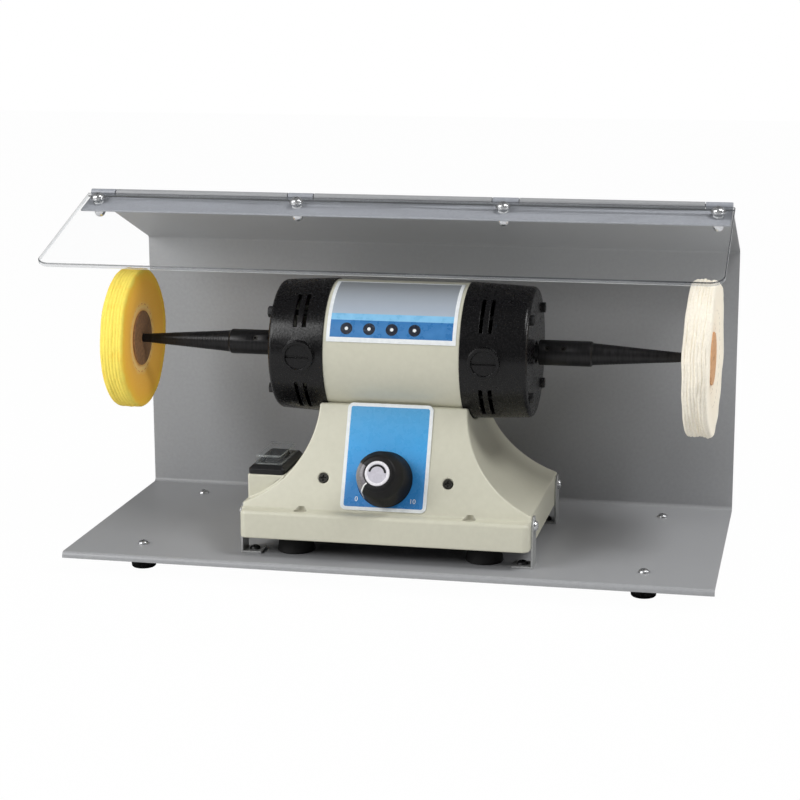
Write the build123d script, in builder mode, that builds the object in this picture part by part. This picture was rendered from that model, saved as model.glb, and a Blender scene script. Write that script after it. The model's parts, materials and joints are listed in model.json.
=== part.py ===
import os
from math import atan2, cos, hypot, radians, sin, tan

from build123d import *

os.makedirs("parts", exist_ok=True)

# Bench buffer under a sheet steel hood with a clear visor.
# Millimetres. X runs along the motor shaft, Y runs away from the user, Z is up.
# The origin lies on the bench under the middle of the whole outline.

# Hood
hood_width = 450.0
hood_depth = 205.0
wall_height = 193.8
roof_run = 122.0
roof_rise = 44.7
sheet = 1.2
hem_drop = 4.5
bend_radius = 3.0
foot_height = 15.0
foot_radius = 10.0
foot_taper = 1.5
foot_pocket_radius = 5.0
foot_pocket_depth = 6.5
foot_from_side = 49.0
foot_from_edge = 31.0
foot_screw_clear = 2.5

# Visor and its hinge
visor_length = 115.3
visor_tilt = radians(18.3)
visor_thick = 3.0
visor_corner = 10.0
visor_overhang = 1.7
strip_width = 26.0
knuckle_radius = 2.6
knuckle_length = 18.0
mid_knuckle_x = 72.0
pin_radius = 1.25
pin_inset = 0.5
lip_side_gap = 2.0
lip_reach = 9.0
lip_root = 1.0
visor_screw_drop = 13.0
visor_screw_radius = 2.5
visor_head_radius = 4.2
visor_head_height = 2.8
visor_head_round = 1.3
washer_radius = 5.0
washer_thick = 0.8
dome_hex_radius = 4.6
dome_hex_height = 4.5
dome_radius = 3.8
dome_drop = 6.0
dome_bore = 7.0

# Pedestal
base_front_gap = 13.0
plinth_width = 201.0
plinth_depth = 150.0
plinth_clear = 13.5
plinth_height = 19.5
plinth_corner = 5.0
plinth_round = 2.8
ledge = 10.0
ledge_blend = 2.2
lean = radians(23.0)
neck_set_in = 48.5
neck_height = 69.0
flare_foot = 3.0
flare_drop = 29.67
flare_spread = 19.8
flare_lift = 13.8
shell_wall = 3.0
dimple_x = 58.8
dimple_from_edge = 7.0
dimple_radius = 4.5
dimple_depth = 1.2
shelf_from_side = 1.0
shelf_width = 27.0
shelf_depth = 54.0
shelf_rise = 21.0
shelf_front = 19.5
shelf_corner = 2.0
boss_from_side = 34.0
boss_from_edge = 25.0
boss_radius = 5.0
pad_width = 10.0
pad_length = 12.0
motor_screw_x = 30.0

# What closes and carries the pedestal
plate_thick = 2.0
plate_gap = 0.3
machine_foot_radius = 13.0
machine_foot_taper = 2.0
machine_pocket_radius = 4.0
machine_pocket_depth = 5.0
base_screw_radius = 1.6
base_screw_grip = 9.0
base_head_radius = 3.2
base_head_height = 2.2
bracket_thick = 1.5
bracket_width = 15.0
bracket_height = 35.0
bracket_foot = 13.0
bracket_corner = 5.0
bracket_from_edge = 17.0
bracket_screw_rise = 14.9
bracket_screw_grip = 9.0
floor_screw_end = 4.2

# Front plate, speed control and knob
front_x = -1.6
panel_width = 60.0
panel_height = 74.5
panel_thick = 0.8
panel_corner = 4.0
panel_stand_up = 1.2
front_screw_x = 43.5
front_screw_up = 22.8
front_screw_radius = 1.6
front_screw_grip = 7.5
front_hole_depth = 11.0
front_head_radius = 3.2
front_head_height = 2.2
front_recess_radius = 3.6
front_recess_depth = 2.6
front_slot_length = 4.2
front_slot_width = 0.9
front_slot_depth = 1.2
front_boss_radius = 4.5
front_boss_depth = 12.0
pot_radius = 8.5
pot_depth = 10.0
pot_floor = 1.5
pot_thread_radius = 3.5
pot_thread_out = 4.0
pot_shaft_radius = 3.0
pot_nut_radius = 5.8
pot_nut_height = 2.0
knob_radius = 19.4
knob_height = 26.0
knob_up = 23.5
knob_shoulder = 18.5
knob_draft = 2.8
knob_crown = 6.8
knob_shoulder_round = 5.0
knob_wall = 4.4
knob_hollow = 13.8
knob_hub_radius = 5.6
knob_hub_start = 6.5
knob_top = 4.0
knob_cap_radius = 8.6
knob_cap_thick = 1.6
knob_cap_sink = 1.0

# Rocker switch
switch_body_width = 20.0
switch_body_length = 34.0
switch_body_depth = 17.0
bezel_gap = 0.4
bezel_height = 6.0
bezel_slope = 2.6
bezel_corner = 3.0
well_width = 13.6
well_length = 29.0
well_depth = 11.0
rocker_width = 12.4
rocker_length = 26.0
rocker_rise = 4.5
rocker_dip = 2.6
rocker_drop = 5.0
rocker_pivot_rise = 3.0
rocker_tilt = radians(9.0)
rocker_pin_radius = 1.3
rocker_pin_reach = 2.2
boot_width = 20.6
boot_length = 44.6
boot_corner = 3.5
boot_height = 6.5
boot_wall = 0.9
boot_draft = 10.0
terminal_thick = 0.8
terminal_width = 6.3
terminal_length = 7.0
terminal_spread = 10.0
terminal_pitch = 14.0

# Cord inlet and control board
grommet_x = 40.0
grommet_radius = 5.5
grommet_bore = 3.6
grommet_flange = 7.5
grommet_flange_thick = 2.0
grommet_lip = 6.5
grommet_lip_thick = 1.6
board_x = 15.0
board_back = 6.0
board_length = 66.0
board_width = 46.0
board_thick = 1.6
standoff_radius = 3.0
standoff_height = 8.0
standoff_inset = 5.0
capacitor_radius = 8.0
capacitor_height = 18.0
heat_sink_x = 26.0
heat_sink_back = 18.0
heat_sink_length = 26.0
heat_sink_thick = 5.0
heat_sink_height = 20.0
choke_x = 36.0
choke_front = 4.0
choke_length = 14.0
choke_width = 20.0
choke_height = 9.0

# Motor drum and covers
drum_radius = 46.5
drum_length = 95.0
drum_wall = 2.5
label_half = 45.0
label_thick = 0.4
label_glue = 0.1
label_low = 13.5
label_high = 82.0
cover_radius = 47.4
cover_end_radius = 45.2
left_cover_length = 39.5
right_cover_length = 45.9
cover_wall = 2.5
cover_end_wall = 3.5
cover_round = 3.5
cover_lip = 5.0
cover_shoulder = 3.0
seat_wall = 4.0
shaft_gap = 3.0
slot_width = 2.6
slot_pitch = 6.4
slot_low = 25.0
slot_high = 59.0
slot_depth = 12.5
tie_radius = 38.0
tie_head_radius = 3.6
tie_slot_length = 5.0
tie_slot_width = 1.0
tie_slot_depth = 1.3
tie_end = 3.6
boss_wide = 11.0
boss_proud = 2.6
axis_rise = 123.0

# Brushes
brush_x = 64.5
brush_cap_radius = 8.6
brush_cap_depth = 5.0
brush_cap_sunk = 1.0
brush_cap_slot = 1.8
brush_cap_slot_depth = 1.4
holder_radius = 6.5
holder_gap = 2.0
brush_width = 8.0
brush_height = 5.0
brush_long = 13.0
spring_radius = 1.7
spring_wire = 0.45
spring_gap = 0.6
spring_turns = 5

# Stator, bearings and rotor
shaft_radius = 5.0
bearing_radius = 13.0
bearing_width = 8.0
bearing_gap = 0.5
race = 2.0
ball_radius = 1.9
ball_count = 7
core_length = 60.0
ring_inner = 34.0
pole_half = 52.0
coil_over = 9.0
coil_sweep = 28.0
coil_step = 1.0
coil_trim = 0.8
armature_radius = 22.0
armature_slots = 12
armature_slot_width = 3.0
armature_slot_depth = 8.25
winding_depth = 7.5
winding_over = 9.0
winding_gap = 2.0
air_gap = 0.6
commutator_radius = 11.0
commutator_length = 13.0
commutator_lead = 9.0
fan_blades = 9
fan_lead = 8.0
fan_disc = 1.6
fan_width = 13.0
fan_hub_radius = 9.0
fan_hub_length = 14.0
fan_eye = 12.0
fan_blade_thick = 1.5
fan_gap = 1.5

# Spindles and wheels
collar_radius = 8.8
collar_length = 37.4
collar_bevel = 0.6
collar_nose = 1.2
left_collar_start = 88.4
right_collar_start = 95.4
shaft_in_collar = 25.0
taper_length = 82.0
taper_big = 7.7
taper_tip = 1.8
grub_near = 6.5
grub_far = 17.5
grub_turn = radians(30.0)
grub_sunk = 0.8
grub_key = 1.15
grub_key_depth = 1.6
wheel_along = 64.6
yellow_radius = 50.0
yellow_thick = 16.5
yellow_sink = 2.4
white_radius = 53.5
white_thick = 19.1
white_sink = 3.0
buff_round = 2.5
buff_rim = 14.0
buff_hub_gap = 1.5
leather_thick = 1.5
yellow_leather_radius = 19.5
white_leather_radius = 17.0

# Fits and small fasteners
running_gap = 0.05
moving_gap = 0.6
hole_gap = 0.25
fit_gap = 0.2
screw_radius = 2.0
head_radius = 3.8
head_height = 2.4
head_round = 1.2
nut_radius = 4.04
nut_height = 3.2

# Places worked out from the sizes above
tray_z = foot_height + sheet
roof_angle = atan2(roof_rise, roof_run - sheet)
visor_top = visor_thick + sheet - knuckle_radius
visor_reach = visor_length * cos(visor_tilt) + visor_top * sin(visor_tilt)
back_y = (roof_run - knuckle_radius * sin(roof_angle) + visor_reach) / 2
tray_front = back_y - hood_depth
lip_y = back_y - roof_run
lip_z = tray_z + wall_height + roof_rise
hinge_y = lip_y + knuckle_radius * sin(roof_angle)
hinge_z = lip_z + knuckle_radius * cos(roof_angle)
end_knuckle_x = (hood_width - knuckle_length) / 2
knuckle_xs = (-end_knuckle_x, -mid_knuckle_x, mid_knuckle_x, end_knuckle_x)
motor_y = tray_front + base_front_gap + plinth_depth / 2
plinth_bottom = tray_z + plinth_clear
plinth_top = plinth_bottom + plinth_height
neck_top = plinth_top + neck_height
axis_z = plinth_bottom + axis_rise
join_x = drum_length / 2
left_end = join_x + left_cover_length
right_end = join_x + right_cover_length
foot_x = hood_width / 2 - foot_from_side
foot_front_y = tray_front + foot_from_edge
foot_back_y = back_y - foot_from_edge
foot_mid_y = (foot_front_y + foot_back_y) / 2
foot_gap_y = foot_back_y - foot_front_y
neck_width = plinth_width - 2 * neck_set_in
face_half = plinth_depth / 2 - ledge
top_half = face_half - neck_height * tan(lean)
back_face = motor_y + plinth_depth / 2
shelf_top = plinth_top + shelf_rise
shelf_x = -(plinth_width / 2 - shelf_from_side - shelf_width / 2)
shelf_y = motor_y - plinth_depth / 2 + shelf_front + shelf_depth / 2
rocker_pivot_z = shelf_top + rocker_pivot_rise
boss_x = plinth_width / 2 - boss_from_side
boss_y = plinth_depth / 2 - boss_from_edge
bracket_spread = plinth_depth / 2 - bracket_from_edge
bracket_screw_z = plinth_bottom + bracket_screw_rise
bracket_foot_x = (plinth_width - bracket_foot + bracket_thick) / 2
grommet_z = plinth_bottom + plinth_height / 2
board_y = motor_y + board_back
board_z = plinth_bottom + plate_thick + standoff_height
panel_up = neck_height / cos(lean) + panel_stand_up - panel_height / 2
left_seat = left_end - cover_end_wall
right_seat = right_end - cover_end_wall
boss_reach = cover_radius + boss_proud
cap_reach = boss_reach - brush_cap_sunk

visor_plane = Plane(
    origin=(0, hinge_y, hinge_z), x_dir=(1, 0, 0), z_dir=(0, -sin(visor_tilt), cos(visor_tilt))
)
roof_plane = Plane(
    origin=(0, hinge_y, hinge_z), x_dir=(1, 0, 0), z_dir=(0, sin(roof_angle), cos(roof_angle))
)
panel_plane = Plane(
    origin=(front_x, motor_y - face_half, plinth_top),
    x_dir=(1, 0, 0),
    z_dir=(0, -cos(lean), sin(lean)),
)
knob_plane = panel_plane.offset(panel_thick + moving_gap)
middle_plane = Plane(origin=(0, motor_y, 0), x_dir=(0, 1, 0), z_dir=(1, 0, 0))
axle_plane = Plane(origin=(0, motor_y, axis_z), x_dir=(1, 0, 0), z_dir=(0, -1, 0))
axle = Axis((0, motor_y, axis_z), (1, 0, 0))
visor_out = Axis((0, 0, 0), tuple(visor_plane.z_dir))
knob_out = Axis((0, 0, 0), tuple(knob_plane.z_dir))
hinge_spot = (hinge_y, hinge_z)
axle_spot = (motor_y, axis_z)

# Ways to stand a round solid on its place
on_top = (Align.CENTER, Align.CENTER, Align.MIN)
below = (Align.CENTER, Align.CENTER, Align.MAX)


def radial_plane(angle):
    """Plane through the shaft axis; its local Y points out at this angle, 0 being the front."""
    turn = radians(angle)
    return Plane(
        origin=(0, motor_y, axis_z), x_dir=(1, 0, 0), z_dir=(0, -sin(turn), -cos(turn))
    )


def across(x):
    """Plane square to the shaft at this X, with local X along Y and local Y along Z."""
    return Plane.YZ.offset(x)


# Hood: one sheet bent into hem, tray, back wall and roof, with knuckles rolled on the lip.
with BuildPart() as hood_shell:
    with BuildSketch(Plane.YZ):
        with BuildLine():
            FilletPolyline(
                (tray_front, tray_z - hem_drop),
                (tray_front, tray_z),
                (back_y - sheet, tray_z),
                (back_y - sheet, tray_z + wall_height),
                (lip_y, lip_z),
                radius=bend_radius,
            )
            offset(amount=sheet, side=Side.LEFT, closed=True)
        make_face()
    extrude(amount=hood_width / 2, both=True)
    with BuildSketch(across(-hood_width / 2)):
        with Locations(hinge_spot):
            Circle(knuckle_radius)
    extrude(amount=hood_width)
    for x in knuckle_xs:
        with BuildSketch(across(x - knuckle_length / 2 - moving_gap)):
            with Locations(hinge_spot):
                Circle(knuckle_radius + moving_gap)
        extrude(amount=knuckle_length + 2 * moving_gap, mode=Mode.SUBTRACT)
    with BuildSketch(across(-hood_width / 2)):
        with Locations(hinge_spot):
            Circle(pin_radius)
    extrude(amount=hood_width, mode=Mode.SUBTRACT)
    with BuildSketch(Plane.XY.offset(foot_height)):
        with Locations((0, foot_mid_y)):
            with GridLocations(2 * foot_x, foot_gap_y, 2, 2):
                Circle(screw_radius + hole_gap)
        with Locations((0, motor_y)):
            with GridLocations(plinth_width - bracket_foot, 2 * bracket_spread, 2, 2):
                Circle(screw_radius + hole_gap)
    extrude(amount=sheet, mode=Mode.SUBTRACT)
hood_shell.part.label = "hood_shell"
export_step(hood_shell.part, "parts/hood_shell.step")

# Rubber feet with a pocket below for the nut.
with BuildPart() as hood_feet:
    with Locations((0, foot_mid_y)):
        with GridLocations(2 * foot_x, foot_gap_y, 2, 2):
            Cone(foot_radius - foot_taper, foot_radius, foot_height, align=on_top)
            Cylinder(screw_radius, foot_height, align=on_top, mode=Mode.SUBTRACT)
            Cylinder(foot_pocket_radius, foot_pocket_depth, align=on_top, mode=Mode.SUBTRACT)
hood_feet.part.label = "hood_feet"
export_step(hood_feet.part, "parts/hood_feet.step")

with BuildPart() as hood_foot_screws:
    with Locations((0, foot_mid_y)):
        with GridLocations(2 * foot_x, foot_gap_y, 2, 2):
            with Locations((0, 0, tray_z)):
                Cylinder(head_radius, head_height, align=on_top)
            with Locations((0, 0, foot_screw_clear)):
                Cylinder(screw_radius, tray_z - foot_screw_clear, align=on_top)
    fillet(hood_foot_screws.edges().group_by(Axis.Z)[-1], head_round)
hood_foot_screws.part.label = "hood_foot_screws"
export_step(hood_foot_screws.part, "parts/hood_foot_screws.step")

with BuildPart() as hood_foot_nuts:
    with BuildSketch(Plane.XY.offset(foot_pocket_depth)):
        with Locations((0, foot_mid_y)):
            with GridLocations(2 * foot_x, foot_gap_y, 2, 2):
                RegularPolygon(radius=nut_radius, side_count=6)
                Circle(screw_radius, mode=Mode.SUBTRACT)
    extrude(amount=-nut_height)
hood_foot_nuts.part.label = "hood_foot_nuts"
export_step(hood_foot_nuts.part, "parts/hood_foot_nuts.step")

with BuildPart() as hinge_pin:
    with BuildSketch(across(pin_inset - hood_width / 2)):
        with Locations(hinge_spot):
            Circle(pin_radius)
    extrude(amount=hood_width - 2 * pin_inset)
hinge_pin.part.label = "hinge_pin"
export_step(hinge_pin.part, "parts/hinge_pin.step")

# Visor: metal leaf with four knuckles and stop lips, and the clear sheet screwed on top of it.
long_starts = tuple(x + knuckle_length / 2 for x in knuckle_xs[:-1])
long_ends = tuple(x - knuckle_length / 2 for x in knuckle_xs[1:])

with BuildPart() as visor_strip:
    with BuildSketch(visor_plane.offset(-knuckle_radius)):
        with Locations((0, -strip_width / 2)):
            Rectangle(hood_width, strip_width)
    extrude(amount=sheet)
    for x in knuckle_xs:
        with BuildSketch(across(x - knuckle_length / 2)):
            with Locations(hinge_spot):
                Circle(knuckle_radius)
        extrude(amount=knuckle_length)
    with BuildSketch(roof_plane.offset(-knuckle_radius - moving_gap)):
        for x in knuckle_xs:
            with Locations((x, (lip_reach - lip_root) / 2)):
                Rectangle(knuckle_length - 2 * lip_side_gap, lip_reach + lip_root)
    extrude(amount=-sheet)
    with BuildSketch(roof_plane.offset(-knuckle_radius - moving_gap)):
        for x in knuckle_xs:
            with Locations((x, 0)):
                Rectangle(knuckle_length - 2 * lip_side_gap, 2 * lip_root)
    extrude(amount=moving_gap + lip_root)
    for start, end in zip(long_starts, long_ends):
        with BuildSketch(across(start)):
            with Locations(hinge_spot):
                Circle(knuckle_radius + 2 * moving_gap)
        extrude(amount=end - start, mode=Mode.SUBTRACT)
    with BuildSketch(across(-hood_width / 2)):
        with Locations(hinge_spot):
            Circle(pin_radius + running_gap)
    extrude(amount=hood_width, mode=Mode.SUBTRACT)
    with BuildSketch(visor_plane.offset(-knuckle_radius)):
        for x in knuckle_xs:
            with Locations((x, -visor_screw_drop)):
                Circle(visor_screw_radius + hole_gap)
    extrude(amount=sheet, mode=Mode.SUBTRACT)
visor_strip.part.label = "visor_strip"
export_step(visor_strip.part, "parts/visor_strip.step")

sheet_start = knuckle_radius + 2 * moving_gap
with BuildPart() as visor_sheet:
    with BuildSketch(visor_plane.offset(sheet - knuckle_radius)):
        with Locations((0, -(visor_length + sheet_start) / 2)):
            Rectangle(hood_width + 2 * visor_overhang, visor_length - sheet_start)
    extrude(amount=visor_thick)
    fillet(visor_sheet.edges().filter_by(visor_out).sort_by(Axis.Z)[:2], visor_corner)
    with BuildSketch(visor_plane.offset(sheet - knuckle_radius)):
        for x in knuckle_xs:
            with Locations((x, -visor_screw_drop)):
                Circle(visor_screw_radius + hole_gap)
    extrude(amount=visor_thick, mode=Mode.SUBTRACT)
visor_sheet.part.label = "visor_sheet"
export_step(visor_sheet.part, "parts/visor_sheet.step")

# Everything that clamps the sheet to the leaf: pan screws, washers, dome nuts behind.
with BuildPart() as visor_screws:
    with BuildSketch(visor_plane.offset(visor_top + washer_thick)):
        for x in knuckle_xs:
            with Locations((x, -visor_screw_drop)):
                Circle(visor_head_radius)
    extrude(amount=visor_head_height)
    fillet(visor_screws.faces().sort_by(visor_out)[-len(knuckle_xs):].edges(), visor_head_round)
    with BuildSketch(visor_plane.offset(visor_top + washer_thick)):
        for x in knuckle_xs:
            with Locations((x, -visor_screw_drop)):
                Circle(visor_screw_radius)
    extrude(amount=-(visor_thick + sheet + washer_thick + dome_bore))
visor_screws.part.label = "visor_screws"
export_step(visor_screws.part, "parts/visor_screws.step")

with BuildPart() as visor_washers:
    with BuildSketch(visor_plane.offset(visor_top)):
        for x in knuckle_xs:
            with Locations((x, -visor_screw_drop)):
                Circle(washer_radius)
                Circle(visor_screw_radius, mode=Mode.SUBTRACT)
    extrude(amount=washer_thick)
visor_washers.part.label = "visor_washers"
export_step(visor_washers.part, "parts/visor_washers.step")

with BuildPart(visor_plane.offset(-knuckle_radius)) as visor_nuts:
    with BuildSketch(visor_plane.offset(-knuckle_radius)):
        for x in knuckle_xs:
            with Locations((x, -visor_screw_drop)):
                RegularPolygon(radius=dome_hex_radius, side_count=6)
    extrude(amount=-dome_hex_height)
    for x in knuckle_xs:
        with Locations((x, -visor_screw_drop, -dome_drop)):
            Sphere(dome_radius)
    with BuildSketch(visor_plane.offset(-knuckle_radius)):
        for x in knuckle_xs:
            with Locations((x, -visor_screw_drop)):
                Circle(visor_screw_radius)
    extrude(amount=-dome_bore, mode=Mode.SUBTRACT)
visor_nuts.part.label = "visor_nuts"
export_step(visor_nuts.part, "parts/visor_nuts.step")

# Pedestal: the flared body and the hollow inside it are helper solids.
def flare_outline(inset):
    """Outline of the flared body seen from the front, drawn in by this much all round."""
    half = neck_width / 2 - inset
    foot = plinth_width / 2 - inset
    top = neck_top - inset
    low = plinth_top - inset
    root = low - plinth_round
    side = Bezier(
        (half, top),
        (half, top - flare_drop),
        (half + flare_spread, low + flare_lift),
        (foot, low + flare_foot),
    )
    skirt = Line((foot, low + flare_foot), (foot, root))
    mirror((side, skirt), about=Plane.YZ)
    Line((-half, top), (half, top))
    Line((-foot, root), (foot, root))


# The leaning faces run into the ledge through a hollow arc of radius ledge_blend.
blend_run = ledge_blend * tan(radians(45.0) - lean / 2)
blend_share = 1.0 - ledge_blend / hypot(blend_run, ledge_blend)
blend_out = face_half + blend_run

with BuildPart() as flare_body:
    with BuildSketch(Plane.XZ.offset(-motor_y)):
        with BuildLine():
            flare_outline(0.0)
        make_face()
    extrude(amount=plinth_depth / 2, both=True)
    with BuildSketch(middle_plane):
        with BuildLine():
            hollow_arc = ThreePointArc(
                (-blend_out, plinth_top),
                (-face_half - blend_run * blend_share, plinth_top + ledge_blend * blend_share),
                (blend_run * sin(lean) - face_half, plinth_top + blend_run * cos(lean)),
            )
            leaning = Line(hollow_arc @ 1, (-top_half, neck_top))
            sunk = Line((-blend_out, plinth_top), (-blend_out, plinth_top - plinth_round))
            mirror((hollow_arc, leaning, sunk), about=Plane.YZ)
            Line((-top_half, neck_top), (top_half, neck_top))
            Line(sunk @ 1, (blend_out, plinth_top - plinth_round))
        make_face()
    extrude(amount=plinth_width, both=True, mode=Mode.INTERSECT)

slant_wall = shell_wall / cos(lean)
hollow_half = face_half + shell_wall * tan(lean) - slant_wall
with BuildPart() as base_hollow:
    with BuildSketch(Plane.XZ.offset(-motor_y)):
        with BuildLine():
            flare_outline(shell_wall)
        make_face()
    extrude(amount=plinth_depth / 2, both=True)
    with BuildSketch(middle_plane):
        with BuildLine():
            Polyline(
                (-hollow_half, plinth_top - shell_wall),
                (slant_wall - top_half, neck_top),
                (top_half - slant_wall, neck_top),
                (hollow_half, plinth_top - shell_wall),
                close=True,
            )
        make_face()
    extrude(amount=plinth_width, both=True, mode=Mode.INTERSECT)
    with BuildSketch(across(-plinth_width)):
        with Locations(axle_spot):
            Circle(drum_radius + shell_wall)
    extrude(amount=2 * plinth_width, mode=Mode.SUBTRACT)
    with BuildSketch(Plane.XY.offset(plinth_bottom)):
        with Locations((0, motor_y)):
            RectangleRounded(
                plinth_width - 2 * shell_wall, plinth_depth - 2 * shell_wall,
                plinth_corner - shell_wall,
            )
    extrude(amount=plinth_height - shell_wall)
    with Locations((shelf_x, shelf_y, plinth_top - shell_wall)):
        Box(shelf_width - 2 * shell_wall, shelf_depth - 2 * shell_wall, shelf_rise, align=on_top)
    with BuildSketch(Plane.XY.offset(plinth_bottom + plate_thick)):
        with Locations((0, motor_y)):
            with GridLocations(2 * boss_x, 2 * boss_y, 2, 2):
                Circle(boss_radius)
            with GridLocations(plinth_width - shell_wall - pad_width, 2 * bracket_spread, 2, 2):
                Rectangle(pad_width, pad_length)
    extrude(amount=neck_height + plinth_height, mode=Mode.SUBTRACT)
    with BuildSketch(panel_plane.offset(-front_boss_depth)):
        with Locations((-front_screw_x, front_screw_up), (front_screw_x, front_screw_up)):
            Circle(front_boss_radius)
    extrude(amount=front_boss_depth, mode=Mode.SUBTRACT)

with BuildPart() as pedestal:
    with BuildSketch(Plane.XY.offset(plinth_bottom)):
        with Locations((0, motor_y)):
            RectangleRounded(plinth_width, plinth_depth, plinth_corner)
    extrude(amount=plinth_height)
    fillet(pedestal.edges().group_by(Axis.Z)[-1], plinth_round)
    add(flare_body.part)
    with BuildSketch(Plane.XY.offset(plinth_top - shell_wall)):
        with Locations((shelf_x, shelf_y)):
            RectangleRounded(shelf_width, shelf_depth, shelf_corner)
    extrude(amount=shelf_rise + shell_wall)
    with BuildSketch(across(-plinth_width)):
        with Locations(axle_spot):
            Circle(drum_radius)
    extrude(amount=2 * plinth_width, mode=Mode.SUBTRACT)
    for start in (-plinth_width, join_x):
        with BuildSketch(across(start)):
            with Locations(axle_spot):
                Circle(cover_radius + hole_gap)
        extrude(amount=plinth_width - join_x, mode=Mode.SUBTRACT)
    add(base_hollow.part, mode=Mode.SUBTRACT)
    with BuildSketch(Plane.XY.offset(shelf_top)):
        with Locations((shelf_x, shelf_y)):
            Rectangle(switch_body_width + 2 * fit_gap, switch_body_length + 2 * fit_gap)
    extrude(amount=-shell_wall, mode=Mode.SUBTRACT)
    with BuildSketch(Plane.XY.offset(plinth_top - dimple_depth)):
        with Locations((0, motor_y - plinth_depth / 2 + dimple_from_edge)):
            with GridLocations(2 * dimple_x, 1.0, 2, 1):
                Circle(dimple_radius)
    extrude(amount=dimple_depth + ledge_blend, mode=Mode.SUBTRACT)
    with BuildSketch(panel_plane):
        with Locations((0, knob_up)):
            Circle(pot_thread_radius)
    extrude(amount=-shell_wall - hole_gap, mode=Mode.SUBTRACT)
    with BuildSketch(panel_plane):
        with Locations((-front_screw_x, front_screw_up), (front_screw_x, front_screw_up)):
            Circle(front_recess_radius)
    extrude(amount=-front_recess_depth, mode=Mode.SUBTRACT)
    with BuildSketch(panel_plane):
        with Locations((-front_screw_x, front_screw_up), (front_screw_x, front_screw_up)):
            Circle(front_screw_radius)
    extrude(amount=-front_hole_depth, mode=Mode.SUBTRACT)
    with BuildSketch(Plane.XY.offset(plinth_bottom)):
        with Locations((0, motor_y)):
            with GridLocations(2 * boss_x, 2 * boss_y, 2, 2):
                Circle(base_screw_radius)
    extrude(amount=plate_thick + base_screw_grip + shell_wall, mode=Mode.SUBTRACT)
    with BuildSketch(across(-plinth_width / 2)):
        for side in (-1, 1):
            with Locations((motor_y + side * bracket_spread, bracket_screw_z)):
                Circle(screw_radius)
    extrude(amount=bracket_screw_grip, mode=Mode.SUBTRACT)
    with BuildSketch(across(plinth_width / 2)):
        for side in (-1, 1):
            with Locations((motor_y + side * bracket_spread, bracket_screw_z)):
                Circle(screw_radius)
    extrude(amount=-bracket_screw_grip, mode=Mode.SUBTRACT)
    with BuildSketch(Plane.XZ.offset(-back_face)):
        with Locations((grommet_x, grommet_z)):
            Circle(grommet_radius)
    extrude(amount=shell_wall, mode=Mode.SUBTRACT)
    with BuildSketch(Plane.XY.offset(axis_z)):
        with Locations((-motor_screw_x, motor_y), (motor_screw_x, motor_y)):
            Circle(screw_radius)
    extrude(amount=-drum_radius - 2 * shell_wall, mode=Mode.SUBTRACT)
pedestal.part.label = "pedestal"
export_step(pedestal.part, "parts/pedestal.step")

with BuildPart() as bottom_plate:
    with BuildSketch(Plane.XY.offset(plinth_bottom)):
        with Locations((0, motor_y)):
            RectangleRounded(
                plinth_width - 2 * (shell_wall + plate_gap),
                plinth_depth - 2 * (shell_wall + plate_gap),
                plinth_corner - shell_wall - plate_gap,
            )
            with GridLocations(2 * boss_x, 2 * boss_y, 2, 2):
                Circle(base_screw_radius, mode=Mode.SUBTRACT)
    extrude(amount=plate_thick)
    with BuildSketch(Plane.XY.offset(plinth_bottom + plate_thick)):
        with Locations((board_x, board_y)):
            with GridLocations(board_length - 2 * standoff_inset, board_width - 2 * standoff_inset, 2, 2):
                Circle(standoff_radius)
    extrude(amount=standoff_height)
bottom_plate.part.label = "bottom_plate"
export_step(bottom_plate.part, "parts/bottom_plate.step")

# Rubber feet of the machine, screwed through the plate into the pedestal bosses.
with BuildPart() as machine_feet:
    with Locations((0, motor_y, tray_z)):
        with GridLocations(2 * boss_x, 2 * boss_y, 2, 2):
            Cone(machine_foot_radius, machine_foot_radius - machine_foot_taper, plinth_clear, align=on_top)
            Cylinder(base_screw_radius, plinth_clear, align=on_top, mode=Mode.SUBTRACT)
            Cylinder(machine_pocket_radius, machine_pocket_depth, align=on_top, mode=Mode.SUBTRACT)
machine_feet.part.label = "machine_feet"
export_step(machine_feet.part, "parts/machine_feet.step")

with BuildPart() as base_screws:
    with Locations((0, motor_y, tray_z + machine_pocket_depth)):
        with GridLocations(2 * boss_x, 2 * boss_y, 2, 2):
            Cylinder(base_head_radius, base_head_height, align=below)
            Cylinder(
                base_screw_radius,
                plinth_clear - machine_pocket_depth + plate_thick + base_screw_grip,
                align=on_top,
            )
base_screws.part.label = "base_screws"
export_step(base_screws.part, "parts/base_screws.step")

# Angle brackets that hold the machine to the tray, one near each plinth corner.
with BuildPart() as mount_brackets:
    with BuildSketch(across(plinth_width / 2)):
        for side in (-1, 1):
            with Locations((motor_y + side * bracket_spread, tray_z + bracket_height / 2)):
                Rectangle(bracket_width, bracket_height)
    extrude(amount=bracket_thick)
    chamfer(mount_brackets.edges().filter_by(Axis.X).group_by(Axis.Z)[-1], bracket_corner)
    with BuildSketch(Plane.XY.offset(tray_z)):
        for side in (-1, 1):
            with Locations((bracket_foot_x, motor_y + side * bracket_spread)):
                Rectangle(bracket_foot + bracket_thick, bracket_width)
    extrude(amount=bracket_thick)
    with BuildSketch(across(plinth_width / 2)):
        for side in (-1, 1):
            with Locations((motor_y + side * bracket_spread, bracket_screw_z)):
                Circle(screw_radius + hole_gap)
    extrude(amount=bracket_thick, mode=Mode.SUBTRACT)
    with BuildSketch(Plane.XY.offset(tray_z)):
        for side in (-1, 1):
            with Locations(((plinth_width - bracket_foot) / 2, motor_y + side * bracket_spread)):
                Circle(screw_radius + hole_gap)
    extrude(amount=bracket_thick, mode=Mode.SUBTRACT)
    mirror(about=Plane.YZ)
mount_brackets.part.label = "mount_brackets"
export_step(mount_brackets.part, "parts/mount_brackets.step")

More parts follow.
